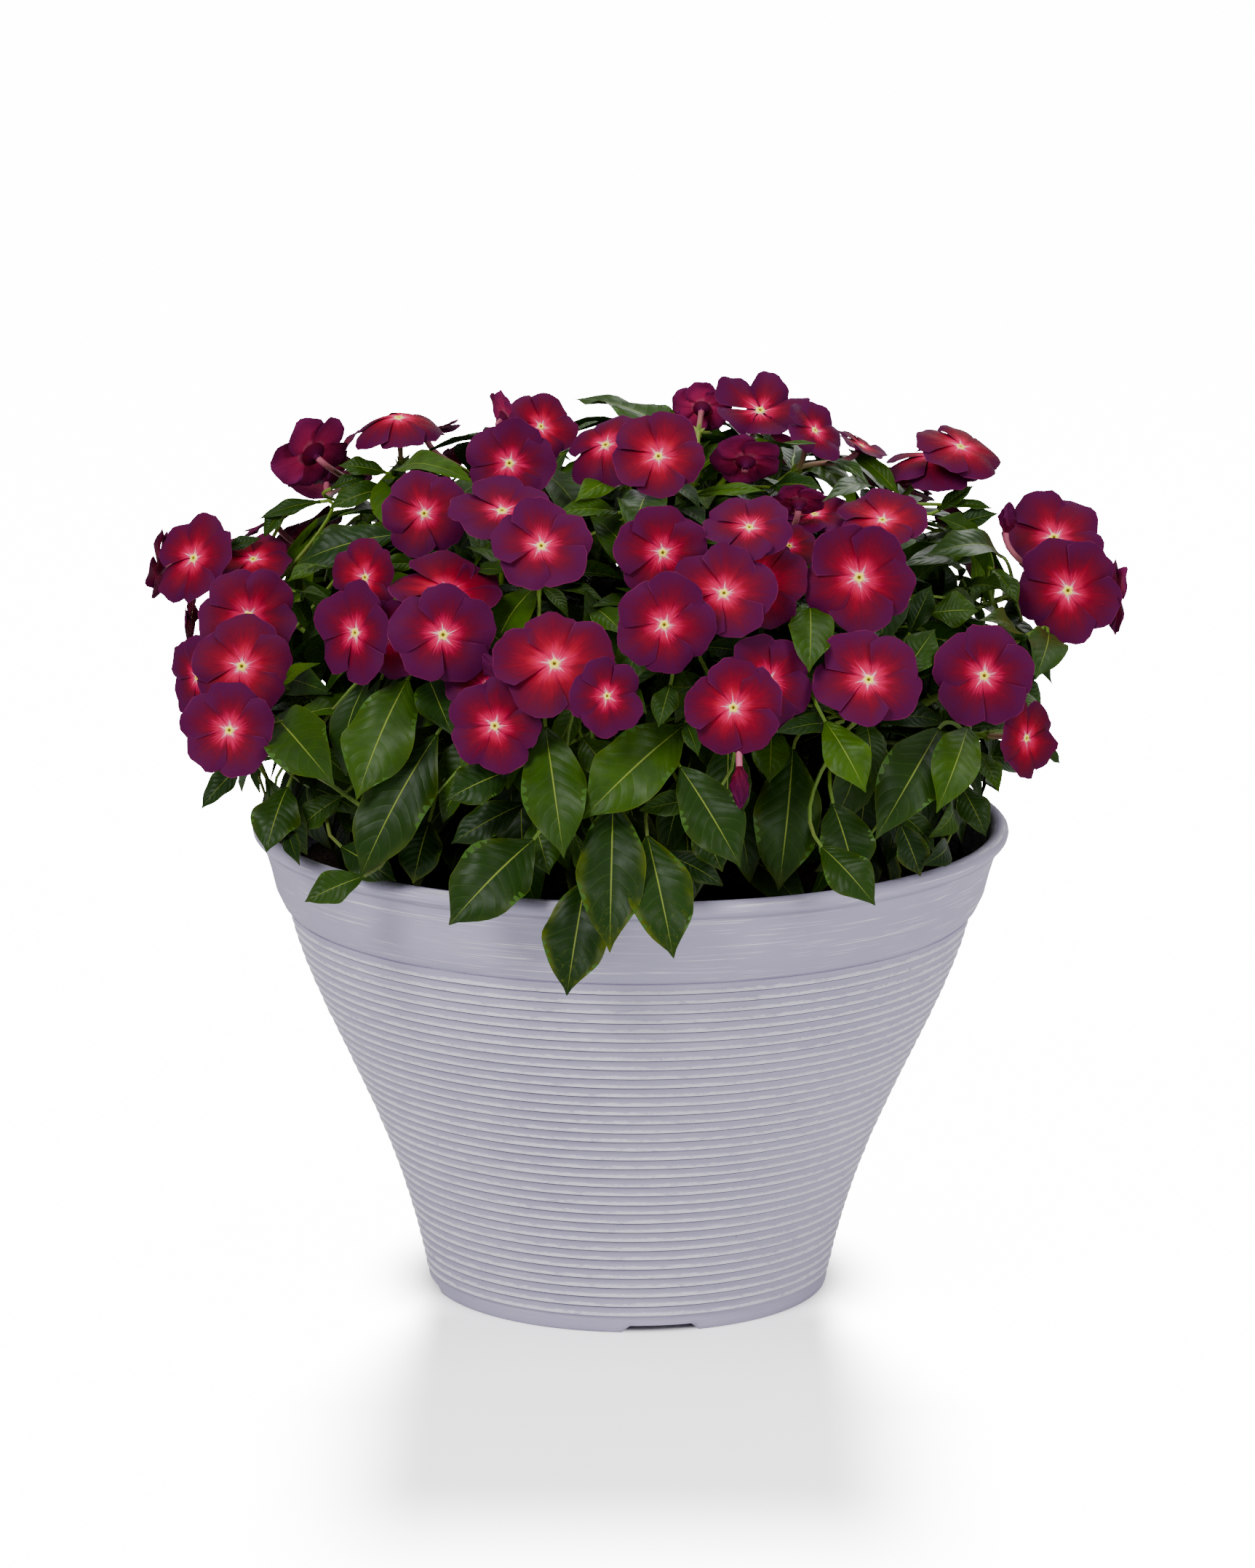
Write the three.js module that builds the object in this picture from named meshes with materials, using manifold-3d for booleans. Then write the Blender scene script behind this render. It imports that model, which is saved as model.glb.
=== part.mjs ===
// Potted madagascar periwinkle: a ribbed planter, its soil, leafy stems and blooms.
// Millimetres, +Z up, the front faces -Y. The origin lies on the floor, on the pot's axis.
import * as THREE from 'three';
import { mergeVertices } from 'three/addons/utils/BufferGeometryUtils.js';
import Module from 'manifold-3d';

const wasm = await Module();
wasm.setup();

// Pot
const POT_SIDES = 20;
const FLOOR_UNDERSIDE = 5;
const FLOOR_TOP = 9;
const FOOT_INNER_RADIUS = 86;
const INNER_HEIGHTS = [FLOOR_TOP, 58, 206];
const INNER_RADII = [91.2, 104.6, 165.4];
const RIB_COUNT = 36;
const RIB_DEPTH = 1.0;
const RIB_LEDGE = 1.7;
const COLLAR_INSET = 0.4;
const RIBS_FROM = 8.6;
const RIBS_TO = 184;
const WALL_HEIGHTS = [0, 36, 58, 81, 103, 124, 146, 166, RIBS_TO];
const WALL_RADII = [94.9, 103.7, 110.2, 118.8, 129, 139.2, 148.7, 156.3, 161.8];
const COLLAR_OUTLINE = [[164.0, 185.4], [167.9, 194.5], [170.2, 204], [172.6, 212], [175.9, 218.2]];
const LIP_OUTLINE = [
  [177.7, 218.9],
  [178.8, 221.8],
  [177.6, 224.4],
  [174.6, 225.4],
  [171.6, 224.2],
  [170.0, 220.5],
];
const NOTCH_ANGLES = [9.5, 99.5, 189.5, 279.5];
const NOTCH_WIDTH_BELOW = 36;
const NOTCH_WIDTH_ABOVE = 29;
const NOTCH_HEIGHT = 3.6;
const NOTCH_STARTS = 76;
const NOTCH_REACH = 30;

// Soil
const FIT = 0.3;
const SOIL_HEIGHT = 199;
const SOIL_ROUGHNESS = 3.2;
const SOIL_RINGS = [0.67, 0.34];

// Stems
const STEM_COUNT = 11;
const STEM_SPREAD = 70;
const STEM_FIRST = 0.4;
const STEM_TURN = 0.6;
const GOLDEN_ANGLE = Math.PI * (3 - Math.sqrt(5));
const STEM_FAN = 2.0;
const STEM_BEND = 1.1;
const STEM_COLLAR = 4;
const STEM_ROOT_DEPTH = 16;
const STEM_ROOT_RADIUS = 3.6;
const STEM_TOP_RADIUS = 2.4;
const HOLE_RADIUS = 4.6;
const HOLE_RISE = 20;
const TRUNK_STATIONS = [0, 0.35, 0.7, 1];
const TWIG_RADIUS = 2;
const STALK_RADIUS = 1.4;
const STALK_SEGMENTS = 2;
const STALK_STATIONS = [0, 0.5, 1];
const STALK_BEND = 0.4;
const STALK_WANDER = 3;
const STALK_TRIES = 9;
const STALK_STEMS = 3;
const FORK_LOWEST = 0.45;
const FORK_HIGHEST = 0.97;
const FORK_DROP = 30;
const FORK_SPAN = 160;
const CROWN_HEIGHT = 338;
const CROWN_SINK = 0.36;

// Leaves
const BLADE = 0.9;
const LEAF_FOLD = 0.22;
const LEAF_ARCH = 0.1;
const LEAF_FACES = { viewer: 0.8, up: 0.35, outward: 0.3 };
const LARGE_LEAF = 72;
const LARGE_LEAF_ROWS = [0.24, 0.52, 0.8];
const SMALL_LEAF_ROWS = [0.33, 0.7];
const LEAF_STALK_RADIUS = 0.85;
const LEAF_STALK_KEEL = 1.4;
const LEAF_STALK_BEND = 0.4;
const LONG_STALK = 30;
const JOINT_STEPS = 8;
const JOINT_TRIES = 5;
const PAIR_STALK = 4;
const INNER_SHELL = 0.88;
const OUTER_SHELL = 0.96;
const PAIR_LENGTH = 66;
const PAIR_LENGTH_SPREAD = 7;
const PAIR_WIDTH_SHARE = 0.44;
const PAIR_SHARES = [0.3, 0.58, 0.86];
const TRUNK_SHARES = [0.62];
const PAIR_LEAN = { forward: 0.45, outward: 0.25, down: 0.12 };
const PAIR_INDEX = 1000;
const PAIRS_BEHIND = -20;
const PAIR_SHELL = 1.01;
const PAIR_TURNS = [0.3, -0.3, 0.8, -0.8, 1.3, -1.3, 0, 0.6];
const PAIR_SCALES = [1, 1, 1, 0.9, 0.85, 0.85, 0.7, 0.7];
const BUD_LENGTH = 10;
const BUD_EVERY = 3;
const BUD_SHARE = 0.86;
const BUD_LEAN = 0.6;
const BUD_OUTLINE = [[0, 0.8], [0.6, 1.9], [1, 0.4]];

// Blooms
const PETAL = 0.8;
const PETAL_COUNT = 5;
const LIFT_SPREAD = 0.09;
const SIZE_SPREAD = 0.05;
const USUAL_CUP = 0.05;
const THROAT_DEPTH = 1.2;
const TUBE_LENGTH = 24;
const TUBE_RADIUS = 1.9;
const TUBE_END_RADIUS = 1.2;
const TUBE_LEAVES = 0.4;
const TUBE_ARRIVES = 0.35;
const TUBE_TRIES = 40;
const TUBE_WANDER = 1.8;
const BUNCH_DEPTH = 0.6;
const BUNCH_SINK = 40;
const WILTED_SHELL = 0.97;
const WILTED_ARCH = 0.12;
const WILTED_TUBE_START = 0.06;
const LOBE_OUTLINE = [
  { angle: -34, reach: 0.68, rise: -0.03 },
  { angle: -23, reach: 0.96, rise: 0 },
  { angle: 22, reach: 1, rise: 0.06 },
];

// Clear space kept between pieces that don't touch, and the steps tried to reach it
const CLEARANCE = 0.35;
const LEAST_VOLUME = 1e-6;
const SLIDES = [0, 6, -6, 12, -12, 18, 24, 30, 37, 44, 52, 60];
const STALK_GAPS = [0.4, 0.9, 1.5, 2.1];

// Rows of blooms on the side away from the viewer, in degrees round from the right and up the crown
const BACK_ROWS = [
  { name: 'low', rise: 6, pitch: 18, from: 32, to: 148, count: 6 },
  { name: 'mid', rise: 32, pitch: 36, from: 29, to: 151, count: 6 },
  { name: 'high', rise: 50, pitch: 54, from: 36, to: 120, count: 4 },
];
const BACK_INDEX = 100;
const BACK_RADIUS = 22;
const BACK_RADIUS_SPREAD = 2;
const BACK_RISE_SPREAD = 5;
const BACK_YAW_SPREAD = 16;
const BACK_PITCH_SPREAD = 12;
const BESIDE = { distance: 36, lift: 0.55, sink: -8, yaw: 28, pitch: 14, radius: 19 };

// The crown of foliage fills an ellipsoid.
const DOME_CENTRE = new THREE.Vector3(0, -3, 232);
const DOME_RADII = new THREE.Vector3(222, 205, 196);

// Places are read as columns and rows of a 1725 x 2156 picture, seen from this standpoint.
const STANDPOINT = new THREE.Vector3(0, -3000, 895.8);
const LOOK_DOWN = THREE.MathUtils.degToRad(12.304);
const LOOK_ROLL = THREE.MathUtils.degToRad(0.351);
const PIXELS_PER_UNIT_SLOPE = 8926.3;
const CENTRE_COLUMN = 867.1;
const CENTRE_ROW = 1078;
const PIXELS_PER_MM = 2.92;

// Where no leaf shows: column, row and radius of discs in the picture
const OPEN_SKY = [
  [225, 1080, 35],
  [254, 1061, 13],
  [328, 1122, 20],
  [336, 1088, 13],
  [215, 880, 25],
  [250, 903, 13],
  [205, 960, 25],
  [210, 1020, 25],
  [242, 817, 7],
  [300, 640, 40],
  [377, 642, 6],
  [438, 716, 10],
  [499, 697, 8],
  [457, 589, 14],
  [627, 606, 10],
  [747, 549, 9],
  [911, 556, 19],
  [1322, 600, 7],
  [1413, 650, 35],
  [1442, 686, 11],
  [1394, 747, 7],
  [1299, 732, 6],
  [1464, 960, 25],
  [1482, 995, 30],
  [1515, 1042, 40],
  [1444, 1083, 30],
  [1403, 1087, 20],
  [1383, 1101, 16],
  [1366, 1054, 10],
  [1354, 1021, 8],
];
const SKY_SHARES = [0.3, 0.65, 1];

// Blooms as seen: the eye's column and row, the way the face turns (yaw to the viewer's right, pitch
// upward, in degrees) and the radius. Blooms of one bunch share a flower stalk. Cup is the share of the
// radius by which the petals rise past the eye, back is how far behind the crown's surface it stands.
const BLOOMS = [
  { bunch: 'topleft', eye: [548, 573], yaw: -10, pitch: 78, radius: 21.7, cup: -0.4 },
  { bunch: 'ember', eye: [428, 622], yaw: -140, pitch: 25, radius: 21 },
  { bunch: 'ember', eye: [465, 628], yaw: -92, pitch: 35, radius: 17, back: 10 },
  { bunch: 'ember', eye: [450, 655], yaw: 175, pitch: 55, radius: 22, back: 20 },
  { bunch: 'brow', eye: [583, 706], yaw: -5, pitch: 20, radius: 19.5 },
  { bunch: 'west', eye: [265, 767], yaw: -40, pitch: 25, radius: 22.5 },
  { bunch: 'west', eye: [217, 775], yaw: -100, pitch: 5, radius: 17, back: 10 },
  { bunch: 'cheek', eye: [341, 847], yaw: 0, pitch: 15, radius: 23 },
  { bunch: 'cheek', eye: [348, 768], yaw: -5, pitch: 60, radius: 18 },
  { bunch: 'cheek', eye: [262, 845], yaw: -95, pitch: 5, radius: 16, back: 12 },
  { bunch: 'jaw', eye: [332, 916], yaw: -5, pitch: 25, radius: 24 },
  { bunch: 'jaw', eye: [270, 932], yaw: -55, pitch: 0, radius: 19, back: 16 },
  { bunch: 'chin', eye: [315, 1004], yaw: -5, pitch: 20, radius: 21.7 },
  { bunch: 'scarf', eye: [487, 870], yaw: -42, pitch: 10, radius: 23 },
  { bunch: 'scarf', eye: [501, 794], yaw: -35, pitch: 15, radius: 18 },
  { bunch: 'scarf', eye: [537, 877], yaw: -15, pitch: 5, radius: 19, back: 14 },
  { bunch: 'collar', eye: [609, 873], yaw: 0, pitch: 10, radius: 23.5 },
  { bunch: 'collar', eye: [614, 811], yaw: 5, pitch: 65, radius: 25, back: 8 },
  { bunch: 'tuft', eye: [700, 637], yaw: -5, pitch: 12, radius: 20.5 },
  { bunch: 'tuft', eye: [744, 586], yaw: 30, pitch: 35, radius: 17.5, back: 6 },
  { bunch: 'tuft', eye: [697, 574], yaw: 115, pitch: 20, radius: 14, back: 22 },
  { bunch: 'shelf', eye: [690, 701], yaw: 0, pitch: 65, radius: 24 },
  { bunch: 'ledge', eye: [744, 750], yaw: 0, pitch: 35, radius: 22 },
  { bunch: 'cap', eye: [832, 611], yaw: -25, pitch: 45, radius: 21, cup: -0.3 },
  { bunch: 'crest', eye: [905, 627], yaw: 0, pitch: 30, radius: 21 },
  { bunch: 'veil', eye: [965, 560], yaw: 175, pitch: 20, radius: 14, back: 30 },
  { bunch: 'horn', eye: [1045, 563], yaw: 5, pitch: 56, radius: 22.5, cup: 0.3 },
  { bunch: 'horn', eye: [1025, 632], yaw: 178, pitch: 40, radius: 16, back: 16 },
  { bunch: 'plume', eye: [1121, 591], yaw: 50, pitch: 40, radius: 17 },
  { bunch: 'plume', eye: [1185, 612], yaw: 75, pitch: 60, radius: 13, back: 8 },
  { bunch: 'wing', eye: [1321, 613], yaw: 35, pitch: 62, radius: 21, cup: -0.15 },
  { bunch: 'wing', eye: [1281, 627], yaw: 0, pitch: 80, radius: 24, back: 8, cup: -0.3 },
  { bunch: 'perch', eye: [1213, 714], yaw: 0, pitch: 60, radius: 20 },
  { bunch: 'fan', eye: [995, 815], yaw: 0, pitch: 35, radius: 23 },
  { bunch: 'fan', eye: [1042, 797], yaw: 10, pitch: 20, radius: 22, back: 16 },
  { bunch: 'fan', eye: [1030, 724], yaw: 0, pitch: 55, radius: 20 },
  { bunch: 'heart', eye: [911, 760], yaw: 0, pitch: 12, radius: 21 },
  { bunch: 'heart', eye: [913, 859], yaw: 0, pitch: 12, radius: 22.5 },
  { bunch: 'pearl', eye: [762, 912], yaw: 0, pitch: 35, radius: 26 },
  { bunch: 'pearl', eye: [835, 957], yaw: 25, pitch: 10, radius: 17.5 },
  { bunch: 'spoke', eye: [680, 998], yaw: 0, pitch: 12, radius: 21 },
  { bunch: 'spoke', eye: [668, 945], yaw: -10, pitch: 20, radius: 18, back: 16 },
  { bunch: 'twin', eye: [1008, 973], yaw: 0, pitch: 12, radius: 22 },
  { bunch: 'twin', eye: [1057, 934], yaw: 25, pitch: 25, radius: 22, back: 14 },
  { bunch: 'lamp', eye: [1194, 934], yaw: 0, pitch: 35, radius: 24 },
  { bunch: 'east', eye: [1353, 929], yaw: 0, pitch: 12, radius: 23.3 },
  { bunch: 'sun', eye: [1181, 794], yaw: 0, pitch: 12, radius: 24.5 },
  { bunch: 'sun', eye: [1085, 750], yaw: 20, pitch: 50, radius: 14, back: 10 },
  { bunch: 'dusk', eye: [1120, 706], yaw: 10, pitch: 70, radius: 17, back: 20 },
  { bunch: 'dusk', eye: [1098, 688], yaw: 178, pitch: 50, radius: 13, back: 14 },
  { bunch: 'flank', eye: [1468, 812], yaw: 5, pitch: 12, radius: 25 },
  { bunch: 'flank', eye: [1449, 738], yaw: 5, pitch: 45, radius: 24, back: 12 },
  { bunch: 'flank', eye: [1539, 822], yaw: 95, pitch: 0, radius: 19, back: 8 },
  { bunch: 'tail', eye: [1412, 1015], yaw: 50, pitch: 5, radius: 18.5 },
];

// Leaves as seen: the columns and rows of the base and the tip, and the width in the same pixels.
// Inner and outer are the shells of the crown on which base and tip lie.
const LEAVES = [
  { base: [805, 1210], tip: [779, 1369], width: 85, inner: 0.86, outer: 1 },
  { base: [843, 1100], tip: [838, 1310], width: 90, inner: 0.84, outer: 1 },
  { base: [890, 1150], tip: [926, 1318], width: 85, inner: 0.86, outer: 1 },
  { base: [733, 1155], tip: [617, 1272], width: 100, inner: 0.86, outer: 1.01 },
  { base: [500, 1205], tip: [419, 1240], width: 45, inner: 0.92, outer: 1.01 },
  { base: [1130, 1165], tip: [1203, 1245], width: 60, inner: 0.88, outer: 1.01 },
  { base: [378, 985], tip: [460, 1080], width: 85 },
  { base: [335, 1050], tip: [277, 1112], width: 35 },
  { base: [395, 1083], tip: [366, 1172], width: 65 },
  { base: [470, 1095], tip: [410, 1140], width: 40, inner: 0.8, outer: 0.85 },
  { base: [560, 935], tip: [490, 1100], width: 95 },
  { base: [590, 935], tip: [622, 1012], width: 60 },
  { base: [600, 1010], tip: [495, 1207], width: 95, inner: 0.84, outer: 0.94 },
  { base: [470, 1165], tip: [545, 1212], width: 50, inner: 0.84, outer: 0.86 },
  { base: [590, 1130], tip: [568, 1215], width: 60, inner: 0.78, outer: 0.84 },
  { base: [700, 1060], tip: [613, 1100], width: 60 },
  { base: [720, 1105], tip: [620, 1160], width: 50, inner: 0.78, outer: 0.84 },
  { base: [750, 1000], tip: [775, 1180], width: 85 },
  { base: [853, 1115], tip: [882, 1198], width: 42, inner: 0.8, outer: 0.88 },
  { base: [940, 998], tip: [800, 1127], width: 95 },
  { base: [935, 1055], tip: [1018, 1193], width: 80 },
  { base: [960, 1130], tip: [993, 1199], width: 50, inner: 0.78, outer: 0.84 },
  { base: [921, 943], tip: [905, 1000], width: 35 },
  { base: [800, 1015], tip: [850, 1080], width: 50, inner: 0.8, outer: 0.86 },
  { base: [1060, 1000], tip: [1057, 1077], width: 50 },
  { base: [1148, 995], tip: [1063, 1008], width: 30 },
  { base: [1135, 993], tip: [1190, 1090], width: 60 },
  { base: [1090, 1030], tip: [1070, 1225], width: 90, inner: 0.84, outer: 0.9 },
  { base: [1145, 1105], tip: [1177, 1215], width: 75, inner: 0.82, outer: 0.88 },
  { base: [1290, 1003], tip: [1203, 1155], width: 85 },
  { base: [1330, 1000], tip: [1287, 1118], width: 65 },
  { base: [1345, 1035], tip: [1373, 1090], width: 30 },
  { base: [1237, 1133], tip: [1265, 1205], width: 45, inner: 0.82, outer: 0.86 },
  { base: [1320, 1080], tip: [1355, 1150], width: 45, inner: 0.82, outer: 0.88 },
  { base: [1440, 870], tip: [1423, 935], width: 55 },
  { base: [540, 655], tip: [655, 665], width: 40 },
  { base: [530, 650], tip: [465, 640], width: 30 },
  { base: [535, 672], tip: [452, 700], width: 40 },
  { base: [440, 690], tip: [357, 713], width: 25 },
  { base: [545, 735], tip: [408, 775], width: 60 },
  { base: [470, 765], tip: [395, 800], width: 35 },
  { base: [955, 682], tip: [1052, 675], width: 20 },
  { base: [1060, 670], tip: [1130, 672], width: 35 },
  { base: [1090, 640], tip: [1180, 700], width: 50 },
  { base: [1205, 687], tip: [1130, 690], width: 35 },
  { base: [1235, 680], tip: [1165, 617], width: 30 },
  { base: [1320, 795], tip: [1237, 780], width: 40 },
  { base: [1375, 765], tip: [1270, 765], width: 50 },
  { base: [1250, 870], tip: [1280, 805], width: 35 },
  { base: [1280, 843], tip: [1345, 840], width: 50 },
  { base: [1325, 810], tip: [1380, 810], width: 40 },
  { base: [1240, 930], tip: [1285, 865], width: 50 },
  { base: [1113, 830], tip: [1112, 925], width: 60 },
  { base: [1215, 870], tip: [1148, 885], width: 25 },
  { base: [970, 890], tip: [1055, 905], width: 40 },
  { base: [890, 680], tip: [870, 735], width: 65 },
  { base: [850, 705], tip: [765, 705], width: 30 },
  { base: [815, 835], tip: [860, 875], width: 40 },
];

// Spent and furled blooms as seen: the columns and rows of the upper and lower end, and the width.
const WILTED = [
  { bunch: 'twin', top: [1016, 1050], low: [1018, 1112], width: 30 },
  { bunch: 'flank', top: [1382, 735], low: [1388, 690], width: 30 },
  { bunch: 'spoke', top: [694, 940], low: [664, 900], width: 32 },
];

const UP = new THREE.Vector3(0, 0, 1);

function draw(index, salt) {
  const wave = Math.sin(index * 12.9898 + salt * 78.233) * 43758.5453;
  return wave - Math.floor(wave);
}

function spread(index, salt, range) {
  return (draw(index, salt) * 2 - 1) * range;
}

function interpolate(xs, ys, x) {
  let at = 1;
  while (at < xs.length - 1 && xs[at] < x) {
    at += 1;
  }
  const share = (x - xs[at - 1]) / (xs[at] - xs[at - 1]);
  return THREE.MathUtils.lerp(ys[at - 1], ys[at], share);
}

// Solids

function toSolid(geometry) {
  const bare = geometry.clone();
  bare.deleteAttribute('normal');
  bare.deleteAttribute('uv');
  const merged = mergeVertices(bare, 1e-3);
  const mesh = new wasm.Mesh({
    numProp: 3,
    vertProperties: new Float32Array(merged.attributes.position.array),
    triVerts: new Uint32Array(merged.index.array),
  });
  mesh.merge();
  return new wasm.Manifold(mesh);
}

function toGeometry(solid) {
  const mesh = solid.getMesh();
  const geometry = new THREE.BufferGeometry();
  geometry.setAttribute('position', new THREE.BufferAttribute(new Float32Array(mesh.vertProperties), 3));
  geometry.setIndex(new THREE.BufferAttribute(new Uint32Array(mesh.triVerts), 1));
  geometry.computeVertexNormals();
  return geometry;
}

function facetSolid(points, faces) {
  const geometry = new THREE.BufferGeometry();
  geometry.setFromPoints(points);
  geometry.setIndex(faces.flat());
  return toSolid(geometry);
}

function fuse(solids) {
  return wasm.Manifold.union(solids);
}

// A closed skin over rings of equal size, with a flat end on the first and last ring.
function loft(rings) {
  const sides = rings[0].length;
  const faces = [];
  for (let ring = 0; ring < rings.length - 1; ring += 1) {
    for (let side = 0; side < sides; side += 1) {
      const here = ring * sides + side;
      const next = ring * sides + (side + 1) % sides;
      faces.push([here, next, next + sides], [here, next + sides, here + sides]);
    }
  }
  const last = (rings.length - 1) * sides;
  for (let side = 1; side < sides - 1; side += 1) {
    faces.push([0, side + 1, side], [last, last + side, last + side + 1]);
  }
  return facetSolid(rings.flat(), faces);
}

// The directions across a line, the first of them level.
function acrossOf(direction) {
  const level = new THREE.Vector3().crossVectors(UP, direction);
  if (level.lengthSq() < 1e-6) {
    level.set(1, 0, 0);
  }
  level.normalize();
  const other = new THREE.Vector3().crossVectors(direction, level).normalize();
  return [level, other];
}

function circleCorners(radius, sides) {
  const corners = [];
  for (let side = 0; side < sides; side += 1) {
    const angle = (side / sides) * Math.PI * 2;
    corners.push([Math.cos(angle) * radius, Math.sin(angle) * radius]);
  }
  return corners;
}

function ringAt(centre, direction, radius, sides) {
  const [across, over] = acrossOf(direction);
  return turnedRing(centre, { along: direction, across, over }, direction, circleCorners(radius, sides));
}

// A ring turned with its direction: across and over lie across the direction from, and follow it to the
// direction to, so that neighbouring rings don't twist.
function turnedRing(centre, frame, to, corners) {
  const turn = new THREE.Quaternion().setFromUnitVectors(frame.along, to);
  const across = frame.across.clone().applyQuaternion(turn);
  const over = frame.over.clone().applyQuaternion(turn);
  return corners.map(([sideways, up]) => {
    return centre.clone().addScaledVector(across, sideways).addScaledVector(over, up);
  });
}

// A tapering rod along a curve
function rod(curve, startRadius, endRadius, sides, segments, grow = 0) {
  const along = curve.getTangent(0);
  const [across, over] = acrossOf(along);
  const rings = [];
  for (let step = 0; step <= segments; step += 1) {
    const share = step / segments;
    const radius = THREE.MathUtils.lerp(startRadius, endRadius, share) + grow;
    const corners = circleCorners(radius, sides);
    rings.push(turnedRing(curve.getPoint(share), { along, across, over }, curve.getTangent(share), corners));
  }
  return loft(rings);
}

// Pieces that are already placed, with their bounds, so that the next one can be put clear of them.
const placed = [];

function keep(solid, owner, family = owner) {
  placed.push({ solid, owner, family, box: solid.boundingBox() });
}

function boxesMeet(a, b) {
  for (let axis = 0; axis < 3; axis += 1) {
    if (a.min[axis] > b.max[axis] || b.min[axis] > a.max[axis]) {
      return false;
    }
  }
  return true;
}

function isClear(solid, owners = []) {
  const box = solid.boundingBox();
  return placed.every((other) => {
    if (owners.includes(other.owner) || owners.includes(other.family) || !boxesMeet(box, other.box)) {
      return true;
    }
    return solid.intersect(other.solid).volume() < LEAST_VOLUME;
  });
}

// Sight lines

function sightDirection(column, row) {
  const across = (column - CENTRE_COLUMN) / PIXELS_PER_UNIT_SLOPE;
  const down = (row - CENTRE_ROW) / PIXELS_PER_UNIT_SLOPE;
  const right = across * Math.cos(LOOK_ROLL) + down * Math.sin(LOOK_ROLL);
  const rise = across * Math.sin(LOOK_ROLL) - down * Math.cos(LOOK_ROLL);
  const ahead = Math.cos(LOOK_DOWN) + rise * Math.sin(LOOK_DOWN);
  const up = rise * Math.cos(LOOK_DOWN) - Math.sin(LOOK_DOWN);
  return new THREE.Vector3(right, ahead, up).normalize();
}

// Where a sight line meets a shell of the crown, or passes it closest.
function onCrown(column, row, shell) {
  const direction = sightDirection(column, row);
  const start = STANDPOINT.clone().sub(DOME_CENTRE).divide(DOME_RADII).divideScalar(shell);
  const slope = direction.clone().divide(DOME_RADII).divideScalar(shell);
  const a = slope.dot(slope);
  const b = start.dot(slope);
  const inside = Math.max(b * b - a * (start.dot(start) - 1), 0);
  const distance = (-b - Math.sqrt(inside)) / a;
  return STANDPOINT.clone().addScaledVector(direction, distance);
}

// Column and row at which a point is seen
function seenAt(point) {
  const offset = point.clone().sub(STANDPOINT);
  const ahead = offset.y * Math.cos(LOOK_DOWN) - offset.z * Math.sin(LOOK_DOWN);
  const rise = offset.y * Math.sin(LOOK_DOWN) + offset.z * Math.cos(LOOK_DOWN);
  const across = (offset.x * Math.cos(LOOK_ROLL) + rise * Math.sin(LOOK_ROLL)) / ahead;
  const down = (offset.x * Math.sin(LOOK_ROLL) - rise * Math.cos(LOOK_ROLL)) / ahead;
  return [CENTRE_COLUMN + across * PIXELS_PER_UNIT_SLOPE, CENTRE_ROW + down * PIXELS_PER_UNIT_SLOPE];
}

// Pot

function wallRadius(height) {
  return interpolate(WALL_HEIGHTS, WALL_RADII, height);
}

function potOutline() {
  const outline = [new THREE.Vector2(wallRadius(0), 0)];
  const pitch = (RIBS_TO - RIBS_FROM) / RIB_COUNT;
  for (let rib = 0; rib < RIB_COUNT; rib += 1) {
    const crest = RIBS_FROM + rib * pitch;
    const ledge = crest + RIB_LEDGE;
    outline.push(new THREE.Vector2(wallRadius(crest), crest));
    outline.push(new THREE.Vector2(wallRadius(ledge) - RIB_DEPTH, ledge));
  }
  outline.push(new THREE.Vector2(wallRadius(RIBS_TO) - COLLAR_INSET, RIBS_TO));
  for (const [radius, height] of [...COLLAR_OUTLINE, ...LIP_OUTLINE]) {
    outline.push(new THREE.Vector2(radius, height));
  }
  for (const height of [...INNER_HEIGHTS].reverse()) {
    outline.push(new THREE.Vector2(innerRadius(height), height));
  }
  return outline;
}

function innerRadius(height) {
  return interpolate(INNER_HEIGHTS, INNER_RADII, height);
}

function potSolid() {
  const outline = potOutline();
  outline.push(new THREE.Vector2(0, FLOOR_TOP), new THREE.Vector2(0, FLOOR_UNDERSIDE));
  outline.push(new THREE.Vector2(FOOT_INNER_RADIUS, FLOOR_UNDERSIDE));
  outline.push(new THREE.Vector2(FOOT_INNER_RADIUS, 0));
  outline.push(outline[0].clone());
  const turned = new THREE.LatheGeometry(outline, POT_SIDES);
  turned.rotateX(Math.PI / 2);
  let pot = toSolid(turned);
  for (const angle of NOTCH_ANGLES) {
    pot = pot.subtract(notchCutter(angle));
  }
  return pot;
}

function notchCutter(angle) {
  const shape = new THREE.Shape();
  shape.moveTo(-NOTCH_WIDTH_BELOW / 2, -1);
  shape.lineTo(NOTCH_WIDTH_BELOW / 2, -1);
  shape.lineTo(NOTCH_WIDTH_ABOVE / 2, NOTCH_HEIGHT);
  shape.lineTo(-NOTCH_WIDTH_ABOVE / 2, NOTCH_HEIGHT);
  const cutter = new THREE.ExtrudeGeometry(shape, { depth: NOTCH_REACH, bevelEnabled: false });
  cutter.rotateX(Math.PI / 2);
  cutter.translate(0, -NOTCH_STARTS, 0);
  cutter.rotateZ(THREE.MathUtils.degToRad(angle));
  return toSolid(cutter);
}

// Soil

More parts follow.
